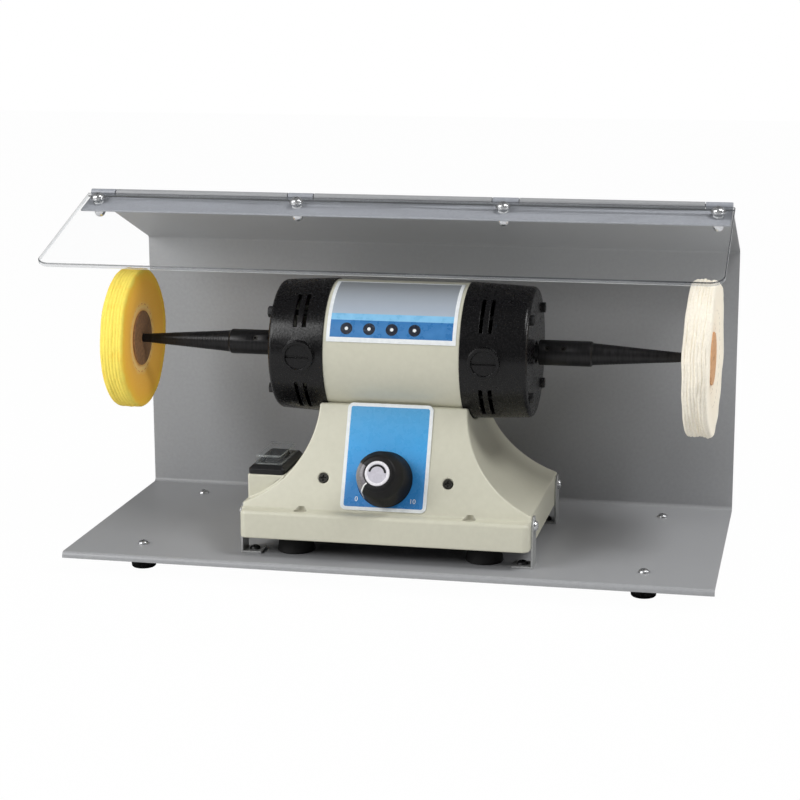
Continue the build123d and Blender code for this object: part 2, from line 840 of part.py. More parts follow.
with BuildPart() as bracket_side_screws:
    with BuildSketch(across(plinth_width / 2 + bracket_thick)):
        for side in (-1, 1):
            with Locations((motor_y + side * bracket_spread, bracket_screw_z)):
                Circle(head_radius)
    extrude(amount=head_height)
    fillet(bracket_side_screws.faces().sort_by(Axis.X)[-2:].edges(), head_round)
    with BuildSketch(across(plinth_width / 2 + bracket_thick)):
        for side in (-1, 1):
            with Locations((motor_y + side * bracket_spread, bracket_screw_z)):
                Circle(screw_radius)
    extrude(amount=-bracket_thick - bracket_screw_grip)
    mirror(about=Plane.YZ)
bracket_side_screws.part.label = "bracket_side_screws"
export_step(bracket_side_screws.part, "parts/bracket_side_screws.step")

with BuildPart() as bracket_floor_screws:
    with Locations((0, motor_y, tray_z + bracket_thick)):
        with GridLocations(plinth_width - bracket_foot, 2 * bracket_spread, 2, 2):
            Cylinder(head_radius, head_height, align=on_top)
            Cylinder(screw_radius, sheet + bracket_thick + floor_screw_end, align=below)
    fillet(bracket_floor_screws.edges().group_by(Axis.Z)[-1], head_round)
bracket_floor_screws.part.label = "bracket_floor_screws"
export_step(bracket_floor_screws.part, "parts/bracket_floor_screws.step")

with BuildPart() as bracket_floor_nuts:
    with BuildSketch(Plane.XY.offset(foot_height)):
        with Locations((0, motor_y)):
            with GridLocations(plinth_width - bracket_foot, 2 * bracket_spread, 2, 2):
                RegularPolygon(radius=nut_radius, side_count=6)
                Circle(screw_radius, mode=Mode.SUBTRACT)
    extrude(amount=-nut_height)
bracket_floor_nuts.part.label = "bracket_floor_nuts"
export_step(bracket_floor_nuts.part, "parts/bracket_floor_nuts.step")

# Front plate, its neighbours and the speed control.
with BuildPart() as control_panel:
    with BuildSketch(panel_plane):
        with Locations((0, panel_up)):
            RectangleRounded(panel_width, panel_height, panel_corner)
        with Locations((0, knob_up)):
            Circle(pot_thread_radius, mode=Mode.SUBTRACT)
    extrude(amount=panel_thick)
control_panel.part.label = "control_panel"
export_step(control_panel.part, "parts/control_panel.step")

with BuildPart() as front_screws:
    with BuildSketch(panel_plane.offset(-front_recess_depth)):
        with Locations((-front_screw_x, front_screw_up), (front_screw_x, front_screw_up)):
            Circle(front_head_radius)
    extrude(amount=front_head_height)
    with BuildSketch(panel_plane.offset(front_head_height - front_recess_depth)):
        with Locations((-front_screw_x, front_screw_up), (front_screw_x, front_screw_up)):
            Rectangle(front_slot_length, front_slot_width)
            Rectangle(front_slot_width, front_slot_length)
    extrude(amount=-front_slot_depth, mode=Mode.SUBTRACT)
    with BuildSketch(panel_plane.offset(-front_recess_depth)):
        with Locations((-front_screw_x, front_screw_up), (front_screw_x, front_screw_up)):
            Circle(front_screw_radius)
    extrude(amount=-front_screw_grip)
front_screws.part.label = "front_screws"
export_step(front_screws.part, "parts/front_screws.step")

pot_tube = shell_wall + panel_thick + pot_thread_out
pot_reach = pot_depth - pot_floor
with BuildPart(panel_plane) as pot_body:
    with Locations((0, knob_up, -shell_wall)):
        Cylinder(pot_radius, pot_depth, align=below)
        Cylinder(pot_thread_radius, pot_tube, align=on_top)
    with Locations((0, knob_up, -shell_wall - pot_reach)):
        Cylinder(pot_shaft_radius + running_gap, pot_reach + pot_tube, align=on_top, mode=Mode.SUBTRACT)
pot_body.part.label = "pot_body"
export_step(pot_body.part, "parts/pot_body.step")

with BuildPart() as pot_nut:
    with BuildSketch(panel_plane.offset(panel_thick)):
        with Locations((0, knob_up)):
            RegularPolygon(radius=pot_nut_radius, side_count=6)
            Circle(pot_thread_radius, mode=Mode.SUBTRACT)
    extrude(amount=pot_nut_height)
pot_nut.part.label = "pot_nut"
export_step(pot_nut.part, "parts/pot_nut.step")

shaft_out = panel_thick + moving_gap + knob_height - knob_top
with BuildPart(panel_plane) as pot_shaft:
    with Locations((0, knob_up, running_gap - shell_wall - pot_reach)):
        Cylinder(pot_shaft_radius, shell_wall + pot_reach + shaft_out - running_gap, align=on_top)
pot_shaft.part.label = "pot_shaft"
export_step(pot_shaft.part, "parts/pot_shaft.step")

with BuildPart(knob_plane) as speed_knob:
    with Locations((0, knob_up, 0)):
        Cone(knob_radius, knob_radius - knob_draft, knob_shoulder, align=on_top)
    with Locations((0, knob_up, knob_shoulder)):
        Cone(knob_radius - knob_draft, knob_radius - knob_crown, knob_height - knob_shoulder, align=on_top)
    fillet(
        speed_knob.edges().filter_by(GeomType.CIRCLE).sort_by(knob_out)[1], knob_shoulder_round
    )
    with Locations((0, knob_up, 0)):
        Cylinder(knob_radius - knob_wall, knob_hollow, align=on_top, mode=Mode.SUBTRACT)
    with Locations((0, knob_up, knob_hub_start)):
        Cylinder(knob_hub_radius, knob_height - knob_top - knob_hub_start, align=on_top)
    with Locations((0, knob_up, 0)):
        Cylinder(pot_shaft_radius, knob_height - knob_top, align=on_top, mode=Mode.SUBTRACT)
    with Locations((0, knob_up, knob_height)):
        Cylinder(knob_cap_radius, knob_cap_sink, align=below, mode=Mode.SUBTRACT)
speed_knob.part.label = "speed_knob"
export_step(speed_knob.part, "parts/speed_knob.step")

with BuildPart(knob_plane) as knob_cap:
    with Locations((0, knob_up, knob_height - knob_cap_sink)):
        Cylinder(knob_cap_radius, knob_cap_thick, align=on_top)
knob_cap.part.label = "knob_cap"
export_step(knob_cap.part, "parts/knob_cap.step")

# Rocker switch on its shelf, under a clear boot. The rocker turns on two short pins.
pin_out = rocker_width / 2 + rocker_pin_reach
with BuildPart() as switch_housing:
    with BuildSketch(Plane.XY.offset(shelf_top)):
        with Locations((shelf_x, shelf_y)):
            RectangleRounded(shelf_width - 2 * bezel_gap, shelf_depth - 2 * bezel_gap, bezel_corner)
    extrude(amount=bezel_height)
    chamfer(switch_housing.edges().group_by(Axis.Z)[-1], bezel_slope)
    with Locations((shelf_x, shelf_y, shelf_top)):
        Box(switch_body_width, switch_body_length, switch_body_depth, align=below)
    with Locations((shelf_x, shelf_y, shelf_top - well_depth)):
        Box(well_width, well_length, well_depth + bezel_height, align=on_top, mode=Mode.SUBTRACT)
    with BuildSketch(across(shelf_x)):
        with Locations((shelf_y, rocker_pivot_z)):
            Circle(rocker_pin_radius + running_gap)
    extrude(amount=pin_out + fit_gap, both=True, mode=Mode.SUBTRACT)
switch_housing.part.label = "switch_housing"
export_step(switch_housing.part, "parts/switch_housing.step")

with BuildPart() as switch_terminals:
    with Locations((shelf_x, shelf_y, shelf_top - switch_body_depth)):
        with GridLocations(terminal_spread, terminal_pitch, 2, 2):
            Box(terminal_thick, terminal_width, terminal_length, align=below)
switch_terminals.part.label = "switch_terminals"
export_step(switch_terminals.part, "parts/switch_terminals.step")

rocker_plane = Plane(
    origin=(shelf_x, shelf_y, rocker_pivot_z),
    x_dir=(0, cos(rocker_tilt), sin(rocker_tilt)),
    z_dir=(1, 0, 0),
)
with BuildPart() as switch_rocker:
    with BuildSketch(rocker_plane):
        with BuildLine():
            Polyline(
                (-rocker_length / 2, -rocker_drop),
                (rocker_length / 2, -rocker_drop),
                (rocker_length / 2, rocker_rise),
                (0, rocker_dip),
                (-rocker_length / 2, rocker_rise),
                close=True,
            )
        make_face()
    extrude(amount=rocker_width / 2, both=True)
    with BuildSketch(rocker_plane):
        Circle(rocker_pin_radius)
    extrude(amount=pin_out, both=True)
switch_rocker.part.label = "switch_rocker"
export_step(switch_rocker.part, "parts/switch_rocker.step")

with BuildPart() as switch_boot:
    with BuildSketch(Plane.XY.offset(shelf_top + bezel_height)):
        with Locations((shelf_x, shelf_y)):
            RectangleRounded(boot_width, boot_length, boot_corner)
    extrude(amount=boot_height, taper=boot_draft)
    with BuildSketch(Plane.XY.offset(shelf_top + bezel_height)):
        with Locations((shelf_x, shelf_y)):
            RectangleRounded(
                boot_width - 2 * boot_wall, boot_length - 2 * boot_wall, boot_corner - boot_wall
            )
    extrude(amount=boot_height - boot_wall, taper=boot_draft, mode=Mode.SUBTRACT)
switch_boot.part.label = "switch_boot"
export_step(switch_boot.part, "parts/switch_boot.step")

# Cord inlet at the back: a grommet only.
cord_plane = Plane(origin=(grommet_x, back_face, grommet_z), x_dir=(-1, 0, 0), z_dir=(0, 1, 0))
grommet_long = grommet_flange_thick + shell_wall + grommet_lip_thick
with BuildPart(cord_plane) as cord_grommet:
    Cylinder(grommet_flange, grommet_flange_thick, align=on_top)
    Cylinder(grommet_radius, shell_wall, align=below)
    with Locations((0, 0, -shell_wall)):
        Cylinder(grommet_lip, grommet_lip_thick, align=below)
    with Locations((0, 0, grommet_flange_thick)):
        Cylinder(grommet_bore, grommet_long, align=below, mode=Mode.SUBTRACT)
cord_grommet.part.label = "cord_grommet"
export_step(cord_grommet.part, "parts/cord_grommet.step")

# Speed control board on the bottom plate's standoffs.
with BuildPart() as control_board:
    with Locations((board_x, board_y, board_z)):
        Box(board_length, board_width, board_thick, align=on_top)
control_board.part.label = "control_board"
export_step(control_board.part, "parts/control_board.step")

with BuildPart() as board_parts:
    with Locations((0, board_y, board_z + board_thick)):
        Cylinder(capacitor_radius, capacitor_height, align=on_top)
    with Locations((heat_sink_x, motor_y + heat_sink_back, board_z + board_thick)):
        Box(heat_sink_length, heat_sink_thick, heat_sink_height, align=on_top)
    with Locations((choke_x, motor_y - choke_front, board_z + board_thick)):
        Box(choke_length, choke_width, choke_height, align=on_top)
board_parts.part.label = "board_parts"
export_step(board_parts.part, "parts/board_parts.step")

# Motor drum, held down on the saddle by two screws from inside the pedestal.
with BuildPart() as motor_shell:
    with BuildSketch(across(-join_x)):
        with Locations(axle_spot):
            Circle(drum_radius)
            Circle(drum_radius - drum_wall, mode=Mode.SUBTRACT)
    extrude(amount=drum_length)
    with BuildSketch(Plane.XY.offset(axis_z)):
        with Locations((-motor_screw_x, motor_y), (motor_screw_x, motor_y)):
            Circle(screw_radius)
    extrude(amount=-drum_radius - drum_wall, mode=Mode.SUBTRACT)
motor_shell.part.label = "motor_shell"
export_step(motor_shell.part, "parts/motor_shell.step")

with BuildPart() as motor_screws:
    with Locations((-motor_screw_x, motor_y, axis_z), (motor_screw_x, motor_y, axis_z)):
        with Locations((0, 0, -drum_radius - shell_wall)):
            Cylinder(head_radius, head_height, align=below)
        with Locations((0, 0, drum_wall - hole_gap - drum_radius)):
            Cylinder(screw_radius, drum_wall + shell_wall, align=below)
motor_screws.part.label = "motor_screws"
export_step(motor_screws.part, "parts/motor_screws.step")

with BuildPart() as drum_label:
    with BuildSketch(radial_plane(label_high)):
        with Locations((0, drum_radius + label_glue + label_thick / 2)):
            Rectangle(2 * label_half, label_thick)
    revolve(axis=axle, revolution_arc=label_high - label_low)
drum_label.part.label = "drum_label"
export_step(drum_label.part, "parts/drum_label.step")

# Vented end covers: a turned shell with brush bosses front and back and paired slots.
def cover_outline(end, side):
    """Half section of a cover that ends at this X; side is 1 to the right, -1 to the left."""
    seat = end - cover_end_wall
    mouth = seat - bearing_width - bearing_gap
    shoulder = join_x + cover_shoulder
    Polyline(
        (side * join_x, cover_radius),
        (side * end, cover_end_radius),
        (side * end, shaft_radius + shaft_gap),
        (side * seat, shaft_radius + shaft_gap),
        (side * seat, bearing_radius),
        (side * mouth, bearing_radius),
        (side * mouth, bearing_radius + seat_wall),
        (side * seat, bearing_radius + seat_wall),
        (side * seat, cover_end_radius - cover_wall),
        (side * shoulder, cover_radius - cover_wall),
        (side * shoulder, drum_radius - 2 * drum_wall),
        (side * (join_x - cover_lip), drum_radius - 2 * drum_wall),
        (side * (join_x - cover_lip), drum_radius - drum_wall),
        (side * join_x, drum_radius - drum_wall),
        close=True,
    )


slot_starts = (slot_high, -slot_low, 180.0 - slot_low, 180.0 + slot_high)

with BuildPart() as right_cover:
    with BuildSketch(Plane.XZ.offset(-motor_y)):
        with Locations((brush_x, axis_z)):
            Circle(boss_wide)
    extrude(amount=boss_reach, both=True)
    with BuildSketch(across(join_x)):
        with Locations(axle_spot):
            Circle(cover_end_radius - cover_wall)
    extrude(amount=right_seat - join_x, mode=Mode.SUBTRACT)
    with BuildSketch(axle_plane) as right_cover_section:
        with BuildLine():
            cover_outline(right_end, 1)
        make_face()
        fillet(
            right_cover_section.vertices().sort_by_distance((right_end, cover_end_radius))[0],
            cover_round,
        )
    revolve(axis=axle)
    with BuildSketch(Plane.XZ.offset(-motor_y)):
        with Locations((brush_x, axis_z)):
            Circle(brush_cap_radius)
    extrude(amount=boss_reach, both=True, mode=Mode.SUBTRACT)
    for start in slot_starts:
        with BuildSketch(radial_plane(start)):
            with Locations((brush_x, cover_radius)):
                with GridLocations(slot_pitch, 1.0, 2, 1):
                    Rectangle(slot_width, slot_depth)
        revolve(axis=axle, revolution_arc=slot_high - slot_low, mode=Mode.SUBTRACT)
    with BuildSketch(across(right_seat)):
        with Locations(axle_spot):
            with PolarLocations(tie_radius, 4, start_angle=45):
                Circle(screw_radius)
    extrude(amount=cover_end_wall, mode=Mode.SUBTRACT)
right_cover.part.label = "right_cover"
export_step(right_cover.part, "parts/right_cover.step")

with BuildPart() as left_cover:
    with BuildSketch(Plane.XZ.offset(-motor_y)):
        with Locations((-brush_x, axis_z)):
            Circle(boss_wide)
    extrude(amount=boss_reach, both=True)
    with BuildSketch(across(-left_seat)):
        with Locations(axle_spot):
            Circle(cover_end_radius - cover_wall)
    extrude(amount=left_seat - join_x, mode=Mode.SUBTRACT)
    with BuildSketch(axle_plane) as left_cover_section:
        with BuildLine():
            cover_outline(left_end, -1)
        make_face()
        fillet(
            left_cover_section.vertices().sort_by_distance((-left_end, cover_end_radius))[0],
            cover_round,
        )
    revolve(axis=axle)
    with BuildSketch(Plane.XZ.offset(-motor_y)):
        with Locations((-brush_x, axis_z)):
            Circle(brush_cap_radius)
    extrude(amount=boss_reach, both=True, mode=Mode.SUBTRACT)
    for start in slot_starts:
        with BuildSketch(radial_plane(start)):
            with Locations((-brush_x, cover_radius)):
                with GridLocations(slot_pitch, 1.0, 2, 1):
                    Rectangle(slot_width, slot_depth)
        revolve(axis=axle, revolution_arc=slot_high - slot_low, mode=Mode.SUBTRACT)
    with BuildSketch(across(-left_end)):
        with Locations(axle_spot):
            with PolarLocations(tie_radius, 4, start_angle=45):
                Circle(screw_radius)
    extrude(amount=cover_end_wall, mode=Mode.SUBTRACT)
left_cover.part.label = "left_cover"
export_step(left_cover.part, "parts/left_cover.step")

# Long bolts that pull the two covers together, nuts on the left.
with BuildPart() as tie_bolts:
    with BuildSketch(across(right_end)):
        with Locations(axle_spot):
            with PolarLocations(tie_radius, 4, start_angle=45):
                Circle(tie_head_radius)
    extrude(amount=head_height)
    with BuildSketch(across(right_end + head_height)):
        with Locations(axle_spot):
            with PolarLocations(tie_radius, 4, start_angle=45):
                Rectangle(tie_slot_length, tie_slot_width)
                Rectangle(tie_slot_width, tie_slot_length)
    extrude(amount=-tie_slot_depth, mode=Mode.SUBTRACT)
    with BuildSketch(across(right_end)):
        with Locations(axle_spot):
            with PolarLocations(tie_radius, 4, start_angle=45):
                Circle(screw_radius)
    extrude(amount=-left_end - right_end - tie_end)
tie_bolts.part.label = "tie_bolts"
export_step(tie_bolts.part, "parts/tie_bolts.step")

with BuildPart() as tie_nuts:
    with BuildSketch(across(-left_end)):
        with Locations(axle_spot):
            with PolarLocations(tie_radius, 4, start_angle=45):
                RegularPolygon(radius=nut_radius, side_count=6)
                Circle(screw_radius, mode=Mode.SUBTRACT)
    extrude(amount=-nut_height)
tie_nuts.part.label = "tie_nuts"
export_step(tie_nuts.part, "parts/tie_nuts.step")

# Slotted caps: the right pair close the brush holders, the left pair blank the same holes.
with BuildPart() as brush_caps:
    for side in (-1, 1):
        with BuildSketch(Plane.XZ.offset(-motor_y - side * cap_reach)):
            with Locations((-brush_x, axis_z), (brush_x, axis_z)):
                Circle(brush_cap_radius)
        extrude(amount=side * brush_cap_depth)
        with BuildSketch(Plane.XZ.offset(-motor_y - side * cap_reach)):
            with Locations((-brush_x, axis_z), (brush_x, axis_z)):
                Rectangle(3 * brush_cap_radius, brush_cap_slot)
        extrude(amount=side * brush_cap_slot_depth, mode=Mode.SUBTRACT)
brush_caps.part.label = "brush_caps"
export_step(brush_caps.part, "parts/brush_caps.step")

holder_end = cap_reach - brush_cap_depth
holder_start = commutator_radius + holder_gap
with BuildPart() as brush_holders:
    for side in (-1, 1):
        with BuildSketch(Plane.XZ.offset(-motor_y - side * holder_end)):
            with Locations((brush_x, axis_z)):
                Circle(holder_radius)
                Rectangle(brush_width, brush_height, mode=Mode.SUBTRACT)
        extrude(amount=side * (holder_end - holder_start))
brush_holders.part.label = "brush_holders"
export_step(brush_holders.part, "parts/brush_holders.step")

with BuildPart() as carbon_brushes:
    for side in (-1, 1):
        with BuildSketch(Plane.XZ.offset(-motor_y - side * (commutator_radius + brush_long))):
            with Locations((brush_x, axis_z)):
                Rectangle(brush_width, brush_height)
        extrude(amount=side * brush_long)
    with BuildSketch(across(brush_x)):
        with Locations(axle_spot):
            Circle(commutator_radius + running_gap)
    extrude(amount=brush_width, both=True, mode=Mode.SUBTRACT)
carbon_brushes.part.label = "carbon_brushes"
export_step(carbon_brushes.part, "parts/carbon_brushes.step")

spring_start = commutator_radius + brush_long + spring_gap
spring_long = holder_end - spring_start - spring_gap
with BuildPart() as brush_springs:
    for side in (-1, 1):
        with BuildLine():
            coil = Helix(
                pitch=spring_long / spring_turns, height=spring_long, radius=spring_radius,
                center=(brush_x, motor_y + side * spring_start, axis_z),
                direction=(0, side, 0),
            )
        with BuildSketch(Plane(origin=coil @ 0, z_dir=coil % 0)):
            RegularPolygon(radius=spring_wire, side_count=6)
        sweep(path=coil)
brush_springs.part.label = "brush_springs"
export_step(brush_springs.part, "parts/brush_springs.step")

# Stator: two pole laminated core and one wound coil round each pole.
stator_radius = drum_radius - drum_wall
bore_radius = armature_radius + air_gap
pole_mid = (ring_inner + bore_radius) / 2
pole_high = ring_inner - bore_radius
with BuildPart() as stator_core:
    with BuildSketch(across(-core_length / 2)):
        with Locations(axle_spot):
            Circle(stator_radius)
            Circle(ring_inner, mode=Mode.SUBTRACT)
            with PolarLocations(tie_radius, 4, start_angle=45):
                Circle(screw_radius + hole_gap, mode=Mode.SUBTRACT)
    extrude(amount=core_length)
    for middle in (90.0, 270.0):
        with BuildSketch(radial_plane(middle + pole_half)):
            with Locations((0, pole_mid + hole_gap)):
                Rectangle(core_length, pole_high + 2 * hole_gap)
        revolve(axis=axle, revolution_arc=2 * pole_half)
stator_core.part.label = "stator_core"
export_step(stator_core.part, "parts/stator_core.step")

coil_high = pole_high - 2 * coil_step
coil_end_x = (core_length + coil_over + coil_trim) / 2
with BuildPart() as field_coils:
    for middle in (90.0, 270.0):
        for start in (middle - pole_half - coil_step, middle + pole_half + coil_step + coil_sweep):
            with BuildSketch(radial_plane(start)):
                with Locations((0, pole_mid)):
                    Rectangle(core_length + 2 * coil_over, coil_high)
            revolve(axis=axle, revolution_arc=coil_sweep)
        with BuildSketch(radial_plane(middle + pole_half + coil_step + coil_sweep)):
            for end in (-1, 1):
                with Locations((end * coil_end_x, pole_mid)):
                    Rectangle(coil_over - coil_trim, coil_high)
        revolve(axis=axle, revolution_arc=2 * (pole_half + coil_step + coil_sweep))
field_coils.part.label = "field_coils"
export_step(field_coils.part, "parts/field_coils.step")

# Ball bearings in the covers.
ball_pitch = (bearing_radius + shaft_radius) / 2
bearing_spots = (bearing_width / 2 - left_seat, right_seat - bearing_width / 2)
with BuildPart() as bearing_outer_rings:
    for middle in bearing_spots:
        with BuildSketch(across(middle - bearing_width / 2)):
            with Locations(axle_spot):
                Circle(bearing_radius)
                Circle(bearing_radius - race, mode=Mode.SUBTRACT)
        extrude(amount=bearing_width)
bearing_outer_rings.part.label = "bearing_outer_rings"
export_step(bearing_outer_rings.part, "parts/bearing_outer_rings.step")

with BuildPart() as bearing_inner_rings:
    for middle in bearing_spots:
        with BuildSketch(across(middle - bearing_width / 2)):
            with Locations(axle_spot):
                Circle(shaft_radius + race)
                Circle(shaft_radius, mode=Mode.SUBTRACT)
        extrude(amount=bearing_width)
bearing_inner_rings.part.label = "bearing_inner_rings"
export_step(bearing_inner_rings.part, "parts/bearing_inner_rings.step")

with BuildPart(across(0)) as bearing_balls:
    for middle in bearing_spots:
        with Locations((motor_y, axis_z, middle)):
            with PolarLocations(ball_pitch, ball_count):
                Sphere(ball_radius)
bearing_balls.part.label = "bearing_balls"
export_step(bearing_balls.part, "parts/bearing_balls.step")

# Rotor: shaft, laminated armature, windings, commutator and fan.
with BuildPart() as motor_shaft:
    with BuildSketch(across(-left_collar_start - shaft_in_collar)):
        with Locations(axle_spot):
            Circle(shaft_radius)
    extrude(amount=left_collar_start + right_collar_start + 2 * shaft_in_collar)
motor_shaft.part.label = "motor_shaft"
export_step(motor_shaft.part, "parts/motor_shaft.step")

with BuildPart() as armature_core:
    with BuildSketch(across(-core_length / 2)):
        with Locations(axle_spot):
            Circle(armature_radius)
            Circle(shaft_radius, mode=Mode.SUBTRACT)
            with PolarLocations(armature_radius, armature_slots):
                Rectangle(2 * armature_slot_depth, armature_slot_width, mode=Mode.SUBTRACT)
    extrude(amount=core_length)
armature_core.part.label = "armature_core"
export_step(armature_core.part, "parts/armature_core.step")

winding_mid = armature_radius - armature_slot_depth + winding_depth / 2
with BuildPart() as armature_windings:
    with BuildSketch(across(-core_length / 2)):
        with Locations(axle_spot):
            with PolarLocations(winding_mid, armature_slots):
                Rectangle(winding_depth, armature_slot_width)
    extrude(amount=core_length)
    for start in (-core_length / 2 - winding_over, core_length / 2):
        with BuildSketch(across(start)):
            with Locations(axle_spot):
                Circle(armature_radius - winding_gap)
                Circle(shaft_radius + winding_gap, mode=Mode.SUBTRACT)
        extrude(amount=winding_over)
armature_windings.part.label = "armature_windings"
export_step(armature_windings.part, "parts/armature_windings.step")

with BuildPart() as commutator:
    with BuildSketch(across(brush_x - commutator_lead)):
        with Locations(axle_spot):
            Circle(commutator_radius)
            Circle(shaft_radius, mode=Mode.SUBTRACT)
    extrude(amount=commutator_length)
commutator.part.label = "commutator"
export_step(commutator.part, "parts/commutator.step")

fan_radius = tie_radius - screw_radius - fan_gap
with BuildPart() as cooling_fan:
    with BuildSketch(across(-brush_x - fan_lead)):
        with Locations(axle_spot):
            Circle(fan_radius)
            Circle(shaft_radius, mode=Mode.SUBTRACT)
    extrude(amount=fan_disc)
    with BuildSketch(across(-brush_x - fan_lead)):
        with Locations(axle_spot):
            Circle(fan_hub_radius)
            Circle(shaft_radius, mode=Mode.SUBTRACT)
    extrude(amount=fan_hub_length)
    with BuildSketch(across(-brush_x - fan_lead)):
        with Locations(axle_spot):
            with PolarLocations((fan_radius + fan_eye) / 2, fan_blades):
                Rectangle(fan_radius - fan_eye, fan_blade_thick)
    extrude(amount=fan_width)
cooling_fan.part.label = "cooling_fan"
export_step(cooling_fan.part, "parts/cooling_fan.step")

# Tapered spindles that clamp on the shaft ends and carry the wheels.
grub_plane = Plane(
    origin=(0, motor_y, axis_z), x_dir=(1, 0, 0), z_dir=(0, -cos(grub_turn), sin(grub_turn))
)
right_grubs = ((right_collar_start + grub_near, 0), (right_collar_start + grub_far, 0))
left_grubs = ((-left_collar_start - grub_near, 0), (-left_collar_start - grub_far, 0))


def spindle_outline(start, side):
    """Half section of a spindle whose collar starts here; side is 1 to the right, -1 to the left."""
    end = start + collar_length
    Polyline(
        (side * start, shaft_radius),
        (side * start, collar_radius - collar_bevel),
        (side * (start + collar_bevel), collar_radius),
        (side * (end - collar_nose), collar_radius),
        (side * end, taper_big),
        (side * (end + taper_length), taper_tip),
        (side * (end + taper_length), 0),
        (side * (start + shaft_in_collar), 0),
        (side * (start + shaft_in_collar), shaft_radius),
        close=True,
    )


with BuildPart() as right_spindle:
    with BuildSketch(axle_plane):
        with BuildLine():
            spindle_outline(right_collar_start, 1)
        make_face()
    revolve(axis=axle)
    with BuildSketch(grub_plane):
        with Locations(*right_grubs):
            Circle(screw_radius)
    extrude(amount=collar_radius + screw_radius, mode=Mode.SUBTRACT)
right_spindle.part.label = "right_spindle"
export_step(right_spindle.part, "parts/right_spindle.step")

with BuildPart() as left_spindle:
    with BuildSketch(axle_plane):
        with BuildLine():
            spindle_outline(left_collar_start, -1)
        make_face()
    revolve(axis=axle)
    with BuildSketch(grub_plane):
        with Locations(*left_grubs):
            Circle(screw_radius)
    extrude(amount=collar_radius + screw_radius, mode=Mode.SUBTRACT)
left_spindle.part.label = "left_spindle"
export_step(left_spindle.part, "parts/left_spindle.step")

with BuildPart() as spindle_grubs:
    with BuildSketch(grub_plane.offset(shaft_radius)):
        with Locations(*right_grubs, *left_grubs):
            Circle(screw_radius)
    extrude(amount=collar_radius - shaft_radius - grub_sunk)
    with BuildSketch(grub_plane.offset(collar_radius - grub_sunk)):
        with Locations(*right_grubs, *left_grubs):
            RegularPolygon(radius=grub_key, side_count=6)
    extrude(amount=-grub_key_depth, mode=Mode.SUBTRACT)
    with BuildSketch(across(-left_collar_start - collar_length)):
        with Locations(axle_spot):
            Circle(shaft_radius)
    extrude(
        amount=left_collar_start + right_collar_start + 2 * collar_length, mode=Mode.SUBTRACT
    )
spindle_grubs.part.label = "spindle_grubs"
export_step(spindle_grubs.part, "parts/spindle_grubs.step")

# Cloth buffs pushed on the tapers: stitched tight at the hub, so the loose rim swells wider.
yellow_face = left_collar_start + collar_length + wheel_along
white_face = right_collar_start + collar_length + wheel_along
yellow_sides = (-yellow_face - yellow_sink, yellow_sink - yellow_face - yellow_thick - leather_thick)
white_sides = (white_face + white_sink - leather_thick, white_face + white_thick - white_sink)


def buff_outline(face, thick, radius, hub, sink, side):
    """Half section of a buff whose inner rim starts here; side is 1 to the right, -1 to the left."""
    Polyline(
        (side * (face + sink), 0),
        (side * (face + sink), hub),
        (side * face, radius - buff_rim),
        (side * face, radius),
        (side * (face + thick), radius),
        (side * (face + thick), radius - buff_rim),
        (side * (face + thick - sink), hub),
        (side * (face + thick - sink), 0),
        close=True,
    )


with BuildPart() as yellow_buff:
    with BuildSketch(axle_plane):
        with BuildLine():
            buff_outline(
                yellow_face, yellow_thick, yellow_radius,
                yellow_leather_radius + buff_hub_gap, yellow_sink, -1,
            )
        make_face()
    revolve(axis=axle)
    fillet(
        yellow_buff.edges().filter_by(GeomType.CIRCLE).sort_by(SortBy.RADIUS)[-2:], buff_round
    )
    add(left_spindle.part, mode=Mode.SUBTRACT)
yellow_buff.part.label = "yellow_buff"
export_step(yellow_buff.part, "parts/yellow_buff.step")

# Leather washers lie in the sunk hubs, one on each face.
with BuildPart() as yellow_leathers:
    for start in yellow_sides:
        with BuildSketch(across(start)):
            with Locations(axle_spot):
                Circle(yellow_leather_radius)
        extrude(amount=leather_thick)
    add(left_spindle.part, mode=Mode.SUBTRACT)
yellow_leathers.part.label = "yellow_leathers"
export_step(yellow_leathers.part, "parts/yellow_leathers.step")

with BuildPart() as white_buff:
    with BuildSketch(axle_plane):
        with BuildLine():
            buff_outline(
                white_face, white_thick, white_radius,
                white_leather_radius + buff_hub_gap, white_sink, 1,
            )
        make_face()
    revolve(axis=axle)
    fillet(
        white_buff.edges().filter_by(GeomType.CIRCLE).sort_by(SortBy.RADIUS)[-2:], buff_round
    )
    add(right_spindle.part, mode=Mode.SUBTRACT)
white_buff.part.label = "white_buff"
export_step(white_buff.part, "parts/white_buff.step")

with BuildPart() as white_leathers:
    for start in white_sides:
        with BuildSketch(across(start)):
            with Locations(axle_spot):
                Circle(white_leather_radius)
        extrude(amount=leather_thick)
    add(right_spindle.part, mode=Mode.SUBTRACT)
white_leathers.part.label = "white_leathers"
export_step(white_leathers.part, "parts/white_leathers.step")
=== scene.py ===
# %% [markdown]
# # A bench buffer under its hood
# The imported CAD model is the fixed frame: every piece below is placed in that frame, in metres,
# and takes over from a CAD node where the real piece has finer detail than its solid.
# A scene could also be modelled freely by eye, but then nothing would fit the joints any more.

# %% Load the frame
import json
import math

import bmesh
import bpy
from mathutils import Matrix, Vector, noise


